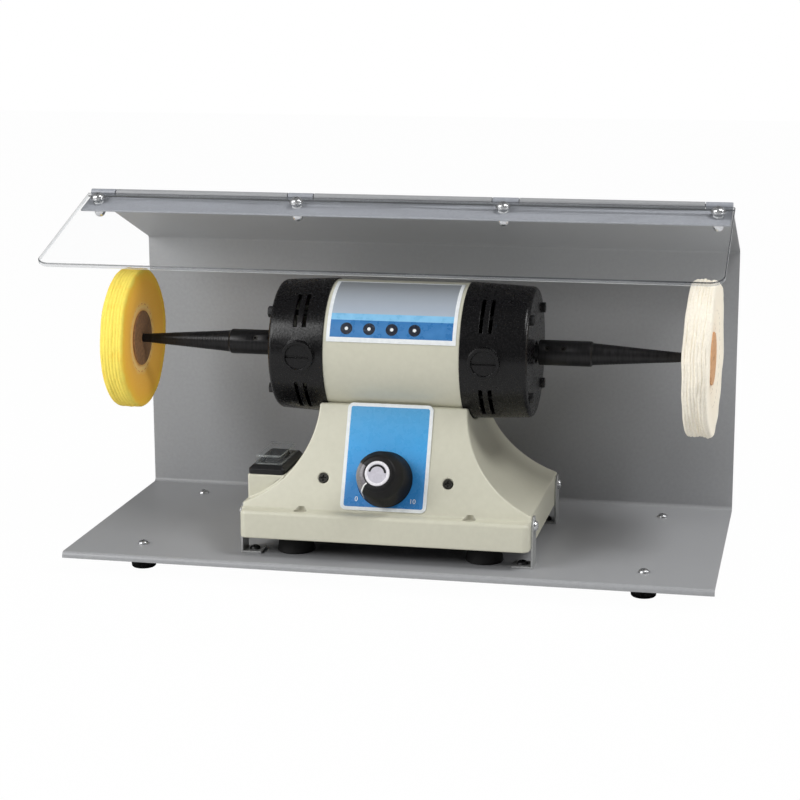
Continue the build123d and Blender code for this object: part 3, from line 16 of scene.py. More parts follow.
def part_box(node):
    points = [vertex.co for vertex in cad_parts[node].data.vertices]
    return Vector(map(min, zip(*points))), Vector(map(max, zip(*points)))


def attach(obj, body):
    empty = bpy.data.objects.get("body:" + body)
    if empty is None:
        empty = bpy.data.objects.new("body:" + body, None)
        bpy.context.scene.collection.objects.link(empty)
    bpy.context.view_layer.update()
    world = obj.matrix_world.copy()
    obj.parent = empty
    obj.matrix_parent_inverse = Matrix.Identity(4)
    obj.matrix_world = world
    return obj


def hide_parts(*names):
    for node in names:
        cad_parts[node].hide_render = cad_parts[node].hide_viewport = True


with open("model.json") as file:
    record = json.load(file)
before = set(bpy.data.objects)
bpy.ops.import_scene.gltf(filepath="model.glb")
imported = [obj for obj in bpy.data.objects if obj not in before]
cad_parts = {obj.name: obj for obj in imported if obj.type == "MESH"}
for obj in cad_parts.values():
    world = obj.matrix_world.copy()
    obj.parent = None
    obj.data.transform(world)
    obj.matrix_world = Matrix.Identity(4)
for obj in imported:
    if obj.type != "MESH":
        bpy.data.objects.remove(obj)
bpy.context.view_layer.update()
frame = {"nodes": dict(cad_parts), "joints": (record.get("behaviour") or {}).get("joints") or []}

nodes = frame["nodes"]
joints = {joint["name"]: joint for joint in frame["joints"]}
MM = 0.001
print(len(nodes), "CAD nodes in the frame")

# %% [markdown]
# ## Places to work from
# The shaft, the visor and the speed knob each have their own direction. A matrix for each one lets
# a shape be made lying along X at the origin, where it is easy, and then be put in its place.
# The joints of the frame give those places, so nothing has to be measured twice.

# %% Shaft, visor and knob places
def facing(point, out):
    """Place whose X looks out along a direction square to the shaft, with its Y along the shaft."""
    out = Vector(out).normalized()
    side = Vector((1.0, 0.0, 0.0))
    up = out.cross(side)
    place = Matrix((out, side, up)).transposed().to_4x4()
    place.translation = Vector(point)
    return place


def joint_point(name):
    """Where a joint of the frame sits."""
    return Vector(joints[name]["pos_m"])


axle = Matrix.Translation(joint_point("rotor_spin"))
visor_tilt = math.radians(18.3)
visor = facing(joint_point("visor_hinge"), (0.0, -math.sin(visor_tilt), math.cos(visor_tilt)))
knob_out = -Vector(joints["knob_turn"]["axis"])
panel = facing(joint_point("knob_turn"), knob_out)
upright = Matrix.Rotation(math.radians(-90.0), 4, "Y")
print("shaft", tuple(round(v, 4) for v in axle.translation))

# %% [markdown]
# ## Camera
# The photo was taken from the front, a little to the right and above, with a long lens. The camera
# stands where the hood's corners and both wheels fall on the same spots as in the photo.

# %% Camera
lens = bpy.data.cameras.new("photo_camera")
lens.lens = 93.77
lens.sensor_width = 36.0
camera = bpy.data.objects.new("photo_camera", lens)
turn = Matrix.Rotation(math.radians(12.0), 4, "Z")
tip = Matrix.Rotation(math.radians(90.0 - 12.15), 4, "X")
roll = Matrix.Rotation(math.radians(-0.15), 4, "Z")
camera.matrix_world = Matrix.Translation((0.2952, -1.4045, 0.4236)) @ turn @ tip @ roll
bpy.context.collection.objects.link(camera)
bpy.context.scene.camera = camera
bpy.context.scene.view_settings.view_transform = "Standard"
print("camera at", tuple(round(v, 3) for v in camera.matrix_world.translation))

# %% [markdown]
# ## Floor and light
# The photo is a product shot on pure white. The floor and the world are white to the camera, also
# through clear plastic, by the Light Path node, while the light that reaches the object stays at a
# plain level: two large soft lamps from the left, one high up on the right, a weak one at the right
# side, and an even sky. Mirror rays see the plain level too, so that black paint stays black.

# %% Floor, world and lamps
def white_to_camera(tree, dim, bright):
    """Joins a dim shader for light rays and a white one for what the camera sees."""
    rays = tree.nodes.new("ShaderNodeLightPath")
    either = tree.nodes.new("ShaderNodeMath")
    either.operation = "MAXIMUM"
    tree.links.new(rays.outputs["Is Camera Ray"], either.inputs[0])
    tree.links.new(rays.outputs["Is Transmission Ray"], either.inputs[1])
    mix = tree.nodes.new("ShaderNodeMixShader")
    tree.links.new(either.outputs[0], mix.inputs["Fac"])
    tree.links.new(dim, mix.inputs[1])
    tree.links.new(bright, mix.inputs[2])
    return mix.outputs[0]


world = bpy.data.worlds.new("studio")
bpy.context.scene.world = world
world.use_nodes = True
sky = world.node_tree.nodes["Background"]
sky.inputs["Color"].default_value = (0.97, 0.98, 1.0, 1.0)
sky.inputs["Strength"].default_value = 0.16
paper = world.node_tree.nodes.new("ShaderNodeBackground")
paper.inputs["Color"].default_value = (1.0, 1.0, 1.0, 1.0)
paper.inputs["Strength"].default_value = 1.0
shown = white_to_camera(world.node_tree, sky.outputs[0], paper.outputs[0])
world.node_tree.links.new(shown, world.node_tree.nodes["World Output"].inputs["Surface"])

floor_paint = bpy.data.materials.new("floor_paper")
floor_paint.use_nodes = True
tree = floor_paint.node_tree
chalk = tree.nodes["Principled BSDF"]
chalk.inputs["Base Color"].default_value = (0.82, 0.82, 0.82, 1.0)
chalk.inputs["Roughness"].default_value = 0.9
glow = tree.nodes.new("ShaderNodeEmission")
glow.inputs["Strength"].default_value = 1.0
half_lit = tree.nodes.new("ShaderNodeMixShader")
half_lit.inputs["Fac"].default_value = 0.985
tree.links.new(chalk.outputs[0], half_lit.inputs[1])
tree.links.new(glow.outputs[0], half_lit.inputs[2])
shown = white_to_camera(tree, chalk.outputs[0], half_lit.outputs[0])
tree.links.new(shown, tree.nodes["Material Output"].inputs["Surface"])

bm = bmesh.new()
bmesh.ops.create_grid(bm, x_segments=1, y_segments=1, size=4.0)
floor_mesh = bpy.data.meshes.new("floor")
bm.to_mesh(floor_mesh)
bm.free()
floor_mesh.materials.append(floor_paint)
floor = bpy.data.objects.new("floor", floor_mesh)
bpy.context.collection.objects.link(floor)


def soft_lamp(name, place, target, watts, size):
    """A square soft lamp that looks at a target."""
    data = bpy.data.lights.new(name, "AREA")
    data.energy = watts
    data.size = size
    lamp = bpy.data.objects.new(name, data)
    look = Vector(target) - Vector(place)
    lamp.matrix_world = Matrix.Translation(place) @ look.to_track_quat("-Z", "Y").to_matrix().to_4x4()
    bpy.context.collection.objects.link(lamp)


aim = (0.0, 0.0, 0.12)
soft_lamp("key_left", (-0.95, -1.15, 1.0), aim, watts=14.0, size=0.7)
soft_lamp("side_left", (-1.5, -0.6, 0.6), aim, watts=8.0, size=0.9)
soft_lamp("high_right", (0.95, -0.4, 1.5), aim, watts=14.0, size=0.6)
soft_lamp("fill_right", (1.35, 0.1, 0.7), (0.0, 0.0, 0.14), watts=4.5, size=0.4)
print("floor, world and four lamps")

# %% [markdown]
# ## How the finishes are made
# No real surface has one flat colour: paint has a fine orange peel, steel has tool marks, rubber is
# dusty. Each finish here is a Principled shader whose colour and gloss wander between two values on
# a noise pattern, with the same pattern as a shallow relief. Object coordinates are in metres, so a
# scale of 1000 gives a grain of one millimetre. An image would not follow the shape this well.

# %% Finish helpers
def srgb(red, green, blue):
    """A colour as seen, 0 to 255, as the linear value that a shader takes."""
    parts = [c / 255.0 for c in (red, green, blue)]
    return tuple(c / 12.92 if c < 0.041 else ((c + 0.055) / 1.055) ** 2.4 for c in parts) + (1.0,)


def finish(
    name, low, high, rough, grain, relief=0.0, metal=0.0, sheen=0.0, shine=0.5, stretch=(1, 1, 1)
):
    """A finish that wanders from one colour and gloss to another, with a shallow relief in microns."""
    material = bpy.data.materials.new(name)
    material.use_nodes = True
    tree = material.node_tree
    shader = tree.nodes["Principled BSDF"]
    shader.inputs["Metallic"].default_value = metal
    shader.inputs["Specular IOR Level"].default_value = shine
    shader.inputs["Sheen Weight"].default_value = sheen
    where = tree.nodes.new("ShaderNodeTexCoord")
    spread = tree.nodes.new("ShaderNodeMapping")
    spread.inputs["Scale"].default_value = stretch
    pattern = tree.nodes.new("ShaderNodeTexNoise")
    pattern.inputs["Scale"].default_value = grain
    pattern.inputs["Detail"].default_value = 4.0
    tint = tree.nodes.new("ShaderNodeValToRGB")
    tint.name = "tint"
    tint.color_ramp.elements[0].position = 0.3
    tint.color_ramp.elements[0].color = low
    tint.color_ramp.elements[1].position = 0.7
    tint.color_ramp.elements[1].color = high
    gloss = tree.nodes.new("ShaderNodeMapRange")
    gloss.inputs["From Min"].default_value = 0.3
    gloss.inputs["From Max"].default_value = 0.7
    gloss.inputs["To Min"].default_value = rough[0]
    gloss.inputs["To Max"].default_value = rough[1]
    tree.links.new(where.outputs["Object"], spread.inputs["Vector"])
    tree.links.new(spread.outputs[0], pattern.inputs["Vector"])
    tree.links.new(pattern.outputs["Fac"], tint.inputs["Fac"])
    tree.links.new(pattern.outputs["Fac"], gloss.inputs["Value"])
    tree.links.new(tint.outputs["Color"], shader.inputs["Base Color"])
    tree.links.new(gloss.outputs["Result"], shader.inputs["Roughness"])
    if relief:
        bump = tree.nodes.new("ShaderNodeBump")
        bump.inputs["Strength"].default_value = 1.0
        bump.inputs["Distance"].default_value = relief * 1e-6
        tree.links.new(pattern.outputs["Fac"], bump.inputs["Height"])
        tree.links.new(bump.outputs["Normal"], shader.inputs["Normal"])
    return material


def see_through(material, alpha):
    """Lets light through a finish, for thin clear plastic."""
    material.node_tree.nodes["Principled BSDF"].inputs["Alpha"].default_value = alpha
    return material


def graded(material, low, high, stops):
    """Lays a ramp of colours over a finish, from one height in metres to another."""
    tree = material.node_tree
    where = tree.nodes.new("ShaderNodeTexCoord")
    parts = tree.nodes.new("ShaderNodeSeparateXYZ")
    rise = tree.nodes.new("ShaderNodeMapRange")
    rise.inputs["From Min"].default_value = low
    rise.inputs["From Max"].default_value = high
    depth = tree.nodes.new("ShaderNodeValToRGB")
    while len(depth.color_ramp.elements) < len(stops):
        depth.color_ramp.elements.new(0.5)
    for element, (share, colour) in zip(depth.color_ramp.elements, stops):
        element.position = share
        element.color = colour
    speck = tree.nodes.new("ShaderNodeMix")
    speck.data_type = "RGBA"
    speck.inputs["Factor"].default_value = 0.12
    tree.links.new(where.outputs["Object"], parts.inputs[0])
    tree.links.new(parts.outputs["Z"], rise.inputs["Value"])
    tree.links.new(rise.outputs["Result"], depth.inputs["Fac"])
    tree.links.new(depth.outputs["Color"], speck.inputs["A"])
    tree.links.new(tree.nodes["tint"].outputs["Color"], speck.inputs["B"])
    tree.links.new(speck.outputs["Result"], tree.nodes["Principled BSDF"].inputs["Base Color"])


print("finish helpers ready")

# %% [markdown]
# ## How the pieces are made
# Round pieces are turned: half a section is spun about an axis, as on a lathe. Sheet and cast pieces
# start from a copy of their CAD node, merged to one skin, whose hard edges get a small bevel, because
# no real edge is perfectly sharp and the bevel is what catches the light. Every piece then rides on
# its CAD body and hides the node that it stands for.

# %% Piece helpers
def turned(section, steps=128, start=0.0, sweep=360.0):
    """Spins a half section of (x, radius) in millimetres about X; angles run from Y towards Z."""
    bm = bmesh.new()
    angle = math.radians(start)
    line = [
        bm.verts.new((x * MM, r * MM * math.cos(angle), r * MM * math.sin(angle))) for x, r in section
    ]
    edges = [bm.edges.new(pair) for pair in zip(line, line[1:])]
    bmesh.ops.spin(
        bm, geom=line + edges, cent=(0, 0, 0), axis=(1, 0, 0), angle=math.radians(sweep),
        steps=steps, use_merge=sweep == 360.0,
    )
    bmesh.ops.remove_doubles(bm, verts=bm.verts, dist=1e-7)
    bmesh.ops.recalc_face_normals(bm, faces=bm.faces)
    return bm


def merged_copy(node):
    """A copy of a CAD node as one skin with its flat faces whole."""
    bm = bmesh.new()
    bm.from_mesh(nodes[node].data)
    bmesh.ops.remove_doubles(bm, verts=bm.verts, dist=2e-6)
    bmesh.ops.dissolve_limit(bm, angle_limit=math.radians(0.6), verts=bm.verts, edges=bm.edges)
    return bm


def soften(bm, width, segments=2, leave=None):
    """Rounds every edge that turns by more than 32 degrees; the width is in millimetres."""
    least = math.radians(32.0)
    hard = [edge for edge in bm.edges if edge.is_manifold and edge.calc_face_angle() > least]
    if leave:
        hard = [edge for edge in hard if not leave(edge)]
    bmesh.ops.bevel(
        bm, geom=hard, offset=width * MM, offset_type="OFFSET", affect="EDGES",
        segments=segments, profile=0.5, material=-1, clamp_overlap=False, loop_slide=True,
    )


def copies(shape, places):
    """One mesh with the shape at each place."""
    template = bpy.data.meshes.new("template")
    shape.to_mesh(template)
    shape.free()
    bm = bmesh.new()
    for place in places:
        first = len(bm.verts)
        bm.from_mesh(template)
        bm.verts.ensure_lookup_table()
        bmesh.ops.transform(bm, matrix=place, verts=bm.verts[first:])
    bpy.data.meshes.remove(template)
    return bm


def piece(name, bm, finishes, body, stands_for=(), smooth=35.0):
    """Makes the object, shades it smooth up to an angle, and joins it to its CAD body."""
    mesh = bpy.data.meshes.new(name)
    bm.to_mesh(mesh)
    bm.free()
    for material in finishes:
        mesh.materials.append(material)
    for polygon in mesh.polygons:
        polygon.use_smooth = True
    mesh.set_sharp_from_angle(angle=math.radians(smooth))
    thing = bpy.data.objects.new(name, mesh)
    bpy.context.collection.objects.link(thing)
    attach(thing, body)
    if stands_for:
        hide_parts(*stands_for)
    print(name, len(mesh.polygons), "faces on", body)
    return thing


def dressed(node, material, body, width=0.25, segments=2, leave=None):
    """A CAD node with softened edges and smooth round faces, under a finish."""
    bm = merged_copy(node)
    soften(bm, width, segments=segments, leave=leave)
    thing = piece(node + "_skin", bm, [material], body, [node])
    even = thing.modifiers.new("even_light", "WEIGHTED_NORMAL")
    even.keep_sharp = True
    return thing


print("piece helpers ready")

# %% [markdown]
# ## The hood
# The hood is one bent steel sheet under a satin grey enamel. Sprayed satin paint has a fine orange
# peel, and its gloss wanders a little with it. The CAD sheet already has its bends, so only the cut
# edges need a small round.

# %% Hood
hood_grey = finish(
    "hood_grey", srgb(155, 156, 158), srgb(161, 162, 164), (0.36, 0.46), 420.0, relief=14.0
)
dressed("hood_shell", hood_grey, "base", width=0.22)
leaf_grey = finish("leaf_grey", srgb(150, 153, 160), srgb(162, 165, 172), (0.3, 0.4), 500.0, relief=10.0)
dressed("visor_strip", leaf_grey, "visor", width=0.22)

# %% [markdown]
# ## Rubber feet
# Four turned feet carry the hood and four wider ones the machine. Moulded rubber is matt with a dusty
# grain, and its rims are round. One section is spun and copied to the places of the CAD feet.

# %% Rubber feet
black_rubber = finish(
    "black_rubber", srgb(18, 18, 18), srgb(30, 29, 28), (0.62, 0.8), 900.0, relief=40.0, shine=0.3
)


def corner_places(low, high, inset, height):
    """The four corners of a box seen from above, drawn in, at a height and standing upright."""
    xs = (low[0] + inset, high[0] - inset)
    ys = (low[1] + inset, high[1] - inset)
    return [Matrix.Translation((x, y, height)) @ upright for x in xs for y in ys]


def foot_places(node, inset):
    """Places at the foot of the four corners of a node."""
    low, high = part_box(node)
    return corner_places(low, high, inset, low[2])


hood_foot = turned(
    [(6.5, 2), (6.5, 5), (0, 5), (0, 7.8), (0.7, 8.5), (8, 9.3), (14, 9.9), (15, 9.6), (15, 2), (6.5, 2)],
    steps=48,
)
hood_feet = copies(hood_foot, foot_places("hood_feet", 10.0 * MM))
piece("hood_rubber_feet", hood_feet, [black_rubber], "base", ["hood_feet"])
base_foot = turned(
    [(5, 1.7), (5, 4), (0, 4), (0, 12.4), (0.6, 13), (12.6, 11.2), (13.5, 10.4), (13.5, 1.7), (5, 1.7)],
    steps=48,
)
base_feet = copies(base_foot, foot_places("machine_feet", 13.0 * MM))
piece("machine_rubber_feet", base_feet, [black_rubber], "base", ["machine_feet"])

# %% [markdown]
# ## Pan head screws
# The visor, the tray and the brackets are held by pan head screws with a cross recess, some bright
# with zinc and some dark. A head is turned with its shank, and a cross made of two bars is cut out of
# it with the Boolean modifier. Modelling the recess face by face would take longer and look no better.

# %% Screws
zinc = finish("zinc", srgb(150, 151, 153), srgb(202, 203, 204), (0.24, 0.4), 1500.0, relief=6.0, metal=0.85)
bright_zinc = finish(
    "bright_zinc", srgb(186, 187, 188), srgb(214, 215, 216), (0.2, 0.32), 1200.0, relief=4.0, metal=0.8
)
dark_steel = finish(
    "dark_steel", srgb(30, 30, 31), srgb(52, 52, 53), (0.3, 0.44), 900.0, relief=8.0, metal=0.5
)


def loose_object(bm, name):
    """A passing object for a modifier to work on."""
    mesh = bpy.data.meshes.new(name)
    bm.to_mesh(mesh)
    bm.free()
    thing = bpy.data.objects.new(name, mesh)
    bpy.context.collection.objects.link(thing)
    return thing


def cut(shape, tool):
    """Cuts the tool out of the shape."""
    body, blade = loose_object(shape, "cut_body"), loose_object(tool, "cut_blade")
    boolean = body.modifiers.new("cut", "BOOLEAN")
    boolean.object = blade
    boolean.operation = "DIFFERENCE"
    boolean.solver = "EXACT"
    boolean.use_self = True
    done = bpy.data.meshes.new_from_object(body.evaluated_get(bpy.context.evaluated_depsgraph_get()))
    result = bmesh.new()
    result.from_mesh(done)
    for thing in (body, blade):
        mesh = thing.data
        bpy.data.objects.remove(thing)
        bpy.data.meshes.remove(mesh)
    bpy.data.meshes.remove(done)
    return result


def pan_screw(radius, height, shank, length):
    """A pan head screw standing along X, its seat at zero, with a cross recess in its head."""
    dome = [
        (height * math.sin(math.radians(a)), radius * (0.35 + 0.65 * math.cos(math.radians(a))))
        for a in (20, 40, 60, 80)
    ]
    body = turned([(-length, 0), (-length, shank), (0, shank), (0, radius)] + dome + [(height, 0)], steps=40)
    cross = bmesh.new()
    for wide, tall in ((1.1, 0.26), (0.26, 1.1)):
        bar = bmesh.ops.create_cube(cross, size=1.0)["verts"]
        size = (height, wide * radius, tall * radius)
        bmesh.ops.scale(cross, vec=[s * MM for s in size], verts=bar)
        bmesh.ops.translate(cross, vec=(1.05 * height * MM, 0, 0), verts=bar)
    return cut(body, cross)


head_radius, head_height, shank_radius = 3.8, 2.4, 2.0
low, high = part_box("hood_foot_screws")
places = corner_places(low, high, head_radius * MM, high[2] - head_height * MM)
screws = copies(pan_screw(head_radius, head_height, shank_radius, length=13.7), places)
piece("tray_screws", screws, [zinc], "base", ["hood_foot_screws"], smooth=30.0)

low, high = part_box("bracket_floor_screws")
places = corner_places(low, high, head_radius * MM, high[2] - head_height * MM)
screws = copies(pan_screw(head_radius, head_height, shank_radius, length=6.9), places)
piece("bracket_tray_screws", screws, [dark_steel], "base", ["bracket_floor_screws"], smooth=30.0)

low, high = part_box("bracket_side_screws")
middle = (low[2] + high[2]) / 2
turned_round = Matrix.Rotation(math.pi, 4, "Z")
places = []
for y in (low[1] + head_radius * MM, high[1] - head_radius * MM):
    places.append(Matrix.Translation((high[0] - head_height * MM, y, middle)))
    places.append(Matrix.Translation((low[0] + head_height * MM, y, middle)) @ turned_round)
screws = copies(pan_screw(head_radius, head_height, shank_radius, length=10.5), places)
piece(
    "bracket_base_screws", screws, [bright_zinc], "base", ["bracket_side_screws"], smooth=30.0
)

visor_screw_xs = (-216.0, -72.0, 72.0, 216.0)
seat, from_hinge = 2.4, 13.0
places = [visor @ Matrix.Translation((seat * MM, x * MM, -from_hinge * MM)) for x in visor_screw_xs]
screws = copies(pan_screw(radius=4.2, height=2.8, shank=2.5, length=12.0), places)
piece("visor_sheet_screws", screws, [bright_zinc], "visor", ["visor_screws"], smooth=30.0)
dressed("visor_washers", zinc, "visor", width=0.15)
chrome = finish(
    "chrome", srgb(190, 191, 194), srgb(224, 225, 228), (0.08, 0.16), 700.0, relief=3.0, metal=1.0
)
dressed("visor_nuts", chrome, "visor", width=0.2)

# %% [markdown]
# ## Clear visor
# The visor is a flat sheet of acrylic. Its faces nearly vanish. What shows is its edge, where the light
# is bent: the band gets a half clear grey that is partly painted reflection, and of its two broken
# corners the upper one gets a painted shade and the lower one a painted highlight, as they bend the
# light in opposite ways. So the band and the two corners get finishes of their own.

# %% Visor
clear_face = see_through(
    finish("clear_face", srgb(236, 240, 242), srgb(244, 247, 248), (0.04, 0.1), 60.0), 0.04
)
clear_band = see_through(
    finish("clear_band", srgb(146, 150, 154), srgb(180, 184, 188), (0.1, 0.2), 25.0), 0.4
)
shade_painted_corner = see_through(
    finish("shade_painted_corner", srgb(58, 60, 63), srgb(84, 87, 90), (0.2, 0.3), 25.0), 0.9
)
highlight_painted_corner = see_through(
    finish("highlight_painted_corner", srgb(238, 241, 243), srgb(250, 252, 253), (0.1, 0.2), 25.0), 0.75
)
bm = merged_copy("visor_sheet")
soften(bm, 0.7, segments=1)
up = visor.to_3x3() @ Vector((1, 0, 0))
flat_visor = visor.inverted()
rear = max((flat_visor @ vert.co).z for vert in bm.verts)
for face in bm.faces:
    rise = face.normal.dot(up)
    at_hinge = (flat_visor @ face.calc_center_median()).z > rear - 1.0 * MM
    # Upper and hinge-side corners get the painted shade, lower corners the painted highlight.
    corner = 2 if rise > 0.3 or at_hinge else 3
    face.material_index = 0 if abs(rise) > 0.9 else corner if abs(rise) > 0.3 else 1
piece(
    "clear_visor", bm, [clear_face, clear_band, shade_painted_corner, highlight_painted_corner], "visor", ["visor_sheet"],
)

# %% [markdown]
# ## Pedestal and drum
# The pedestal is a casting under a thick cream enamel, so its edges are soft and its colour is even
# with a faint orange peel. The motor drum carries the same paint. The drum is turned afresh, because
# the CAD mesh shows flats along a long smooth cylinder. Right under the two sides of the flare the
# plinth's top edge is round already, and the two dents in the ledge are shallower than the bevel is
# wide, so a bevel there would only tear the skin. The switch opening keeps its edges too, because the
# rocker passes close to them. The dents get a duller, darker cream: a painted shade.

# %% Pedestal and drum
cream = finish(
    "cream_enamel", srgb(202, 200, 182), srgb(206, 204, 186), (0.3, 0.36), 260.0, relief=4.0
)
base_low, base_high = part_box("pedestal")
dent_near, dent_far, dent_back, dent_low, dent_high = 53.5, 64.1, 13.5, 18.0, 25.0


def on_base(spot):
    """Millimetres out from the middle, back from the plinth's front and up from its foot."""
    return abs(spot.x) / MM, (spot.y - base_low[1]) / MM, (spot.z - base_low[2]) / MM


def in_dent(spot):
    """True for a point in one of the two dents in the ledge."""
    side, front, rise = on_base(spot)
    return dent_near < side < dent_far and front < dent_back and dent_low < rise < dent_high


def stays_sharp(edge):
    """True for an edge on the plinth's rounded sides, round a dent or in the switch opening."""
    side, front, rise = zip(*[on_base(vert.co) for vert in edge.verts])
    on_round = min(side) > base_high[0] / MM - 3.2 and min(rise) > 16.6 and max(rise) < 19.8
    at_dent = (
        dent_near < min(side) and max(side) < dent_far and max(front) < dent_back
        and dent_low < min(rise) < dent_high
    )
    in_opening = (
        all(vert.co.x < 0 for vert in edge.verts) and 73.0 < min(side) and max(side) < 99.0
        and 24.0 < min(front) and max(front) < 69.0 and 36.0 < min(rise) and max(rise) < 41.0
    )
    return on_round or at_dent or in_opening


casting = dressed("pedestal", cream, "base", width=1.2, segments=3, leave=stays_sharp)
# The faces in the dents get a darker, duller cream: a painted shade.
casting.data.materials.append(
    finish("dent_painted_shade", srgb(172, 169, 152), srgb(178, 175, 158), (0.5, 0.6), 260.0, relief=4.0)
)
for face in casting.data.polygons:
    corners = [casting.data.vertices[index].co for index in face.vertices]
    if in_dent(face.center) and all(in_dent(corner) for corner in corners):
        face.material_index = 1
drum = turned(
    [(-47.5, 44), (-47.5, 46.2), (-47.2, 46.5), (47.2, 46.5), (47.5, 46.2), (47.5, 44), (-47.5, 44)],
    steps=192,
)
bmesh.ops.transform(drum, matrix=axle, verts=drum.verts)
piece("motor_drum", drum, [cream], "base", ["motor_shell"])

# %% [markdown]
# ## Brackets and grommet
# Small plated steel angles tie the machine to the tray, and a rubber grommet guards the cord hole.

# %% Brackets and grommet
plated = finish(
    "plated", srgb(168, 169, 168), srgb(190, 191, 190), (0.3, 0.42), 600.0, relief=6.0, metal=0.55
)
dressed("mount_brackets", plated, "base", width=0.3)
low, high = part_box("cord_grommet")
bush = turned(
    [(-4.6, 3.6), (-4.6, 6.1), (-4.2, 6.5), (-3.2, 6.5), (-3, 5.5), (0, 5.5), (0, 7.5), (1.2, 7.5), (2, 6.6),
     (2, 4.2), (1.4, 3.6), (-4.6, 3.6)], steps=48,
)
back = Matrix.Translation(((low[0] + high[0]) / 2, high[1] - 2.0 * MM, (low[2] + high[2]) / 2))
bmesh.ops.transform(bush, matrix=back @ Matrix.Rotation(math.radians(90), 4, "Z"), verts=bush.verts)
piece("cord_bush", bush, [black_rubber], "base", ["cord_grommet"])

# %% [markdown]
# ## End covers
# The vented covers are moulded or cast and sprayed gloss black. The paint has a coarse orange peel
# that breaks the highlights into specks, which the relief of the finish gives.

# %% End covers
gloss_black = finish(
    "gloss_black", srgb(11, 11, 12), srgb(18, 17, 18), (0.2, 0.32), 650.0, relief=60.0, shine=0.27
)
for side in ("left", "right"):
    dressed(side + "_cover", gloss_black, "base", width=0.35)
dressed("brush_caps", gloss_black, "base", width=0.3)
dressed("tie_bolts", dark_steel, "base", width=0.25)
dressed("tie_nuts", dark_steel, "base", width=0.25)

# %% [markdown]
# ## Drum label
# A printed film is glued round the front of the drum: a silver field above, a light strip, and a blue
# band with a row of dark spots, all inside a white border. The film is spun as an arc, and each face
# takes its ink by its height round the drum. Every spot is a disc bent onto the film, cut into rings
# of small faces first, because one flat face would sink into the curve.

# %% Drum label
white_ink = finish("white_ink", srgb(226, 230, 232), srgb(238, 241, 242), (0.28, 0.36), 300.0, relief=4.0)
silver_ink = finish("silver_ink", srgb(160, 168, 178), srgb(172, 179, 188), (0.3, 0.36), 120.0, relief=1.0)
low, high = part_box("drum_label")
graded(
    silver_ink, low[2], high[2],
    [(0.4, srgb(176, 190, 206)), (0.7, srgb(160, 168, 178)), (0.95, srgb(134, 138, 142))],
)
sky_ink = finish("sky_ink", srgb(122, 184, 224), srgb(140, 198, 234), (0.25, 0.33), 150.0, relief=4.0)
blue_ink = finish("blue_ink", srgb(46, 112, 172), srgb(58, 126, 186), (0.25, 0.33), 150.0, relief=4.0)
dark_ink = finish("dark_ink", srgb(20, 26, 40), srgb(32, 40, 56), (0.2, 0.3), 400.0, relief=3.0)

film_radius, film_back, film_half, print_half = 47.0, 46.6, 45.0, 42.6
print_foot, band_top, strip_top, print_head = 17.5, 32.5, 38.5, 80.0


def fill_ends(bm):
    """Closes the open ends of a shape."""
    bmesh.ops.holes_fill(bm, edges=[edge for edge in bm.edges if edge.is_boundary], sides=0)


film = turned(
    [(-film_half, film_back), (-film_half, film_radius), (-print_half, film_radius),
     (print_half, film_radius), (film_half, film_radius), (film_half, film_back), (-film_half, film_back)],
    steps=137, start=98.0, sweep=68.5,
)
fill_ends(film)
bmesh.ops.recalc_face_normals(film, faces=film.faces)
for face in film.faces:
    spot = face.calc_center_median()
    height = math.degrees(math.atan2(spot.z, -spot.y))
    outer = math.hypot(spot.y, spot.z) > 46.9 * MM
    if not outer or abs(spot.x) > print_half * MM or height < print_foot or height > print_head:
        face.material_index = 0
    else:
        face.material_index = 1 if height > strip_top else 2 if height > band_top else 3
bmesh.ops.transform(film, matrix=axle, verts=film.verts)
piece(
    "drum_film", film, [white_ink, silver_ink, sky_ink, blue_ink], "base", ["drum_label"]
)


def add_shape(bm, shape):
    """Adds a shape to a mesh and lets go of it."""
    template = bpy.data.meshes.new("template")
    shape.to_mesh(template)
    shape.free()
    bm.from_mesh(template)
    bpy.data.meshes.remove(template)


def bent_disc(across, height, radius, lift):
    """A disc lying on the film, bent round the drum; the height is an angle above the front."""
    bm = bmesh.new()
    bmesh.ops.create_cone(
        bm, cap_ends=True, segments=32, radius1=radius * MM, radius2=radius * MM, depth=2 * lift * MM
    )
    bmesh.ops.poke(bm, faces=[face for face in bm.faces if len(face.verts) > 4])
    spokes = [edge for edge in bm.edges if min(vert.co.xy.length for vert in edge.verts) < 0.01 * MM]
    bmesh.ops.subdivide_edges(bm, edges=spokes, cuts=7)
    for vert in bm.verts:
        angle = math.radians(height) + vert.co.y / (film_radius * MM)
        reach = film_radius * MM + vert.co.z
        vert.co = (across * MM + vert.co.x, -reach * math.cos(angle), reach * math.sin(angle))
    bmesh.ops.recalc_face_normals(bm, faces=bm.faces)
    return bm


spots = bmesh.new()
for across in (-31.2, -15.4, 0.4, 16.2):
    for radius, lift, ink in ((4.2, 0.04, 0), (1.2, 0.06, 1)):
        disc = bent_disc(across, 25.0, radius, lift)
        for face in disc.faces:
            face.material_index = ink
        add_shape(spots, disc)
bmesh.ops.transform(spots, matrix=axle, verts=spots.verts)
piece("label_spots", spots, [dark_ink, white_ink], "base")

# %% [markdown]
# ## Control panel
# The front plate is a printed film on metal: blue, deeper towards its foot, inside a white border.
# The border is an inset of the plate's front face, and the blue follows the height by a colour ramp.
# Plain numerals stand where a dial of this kind has its two ends.

# %% Control panel
panel_blue = finish("panel_blue", srgb(60, 148, 212), srgb(66, 154, 218), (0.24, 0.32), 200.0, relief=4.0)
low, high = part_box("control_panel")
graded(
    panel_blue, low[2], high[2],
    [(0.0, srgb(44, 116, 184)), (0.3, srgb(54, 138, 204)), (0.6, srgb(68, 164, 226)),
     (1.0, srgb(84, 160, 206))],
)

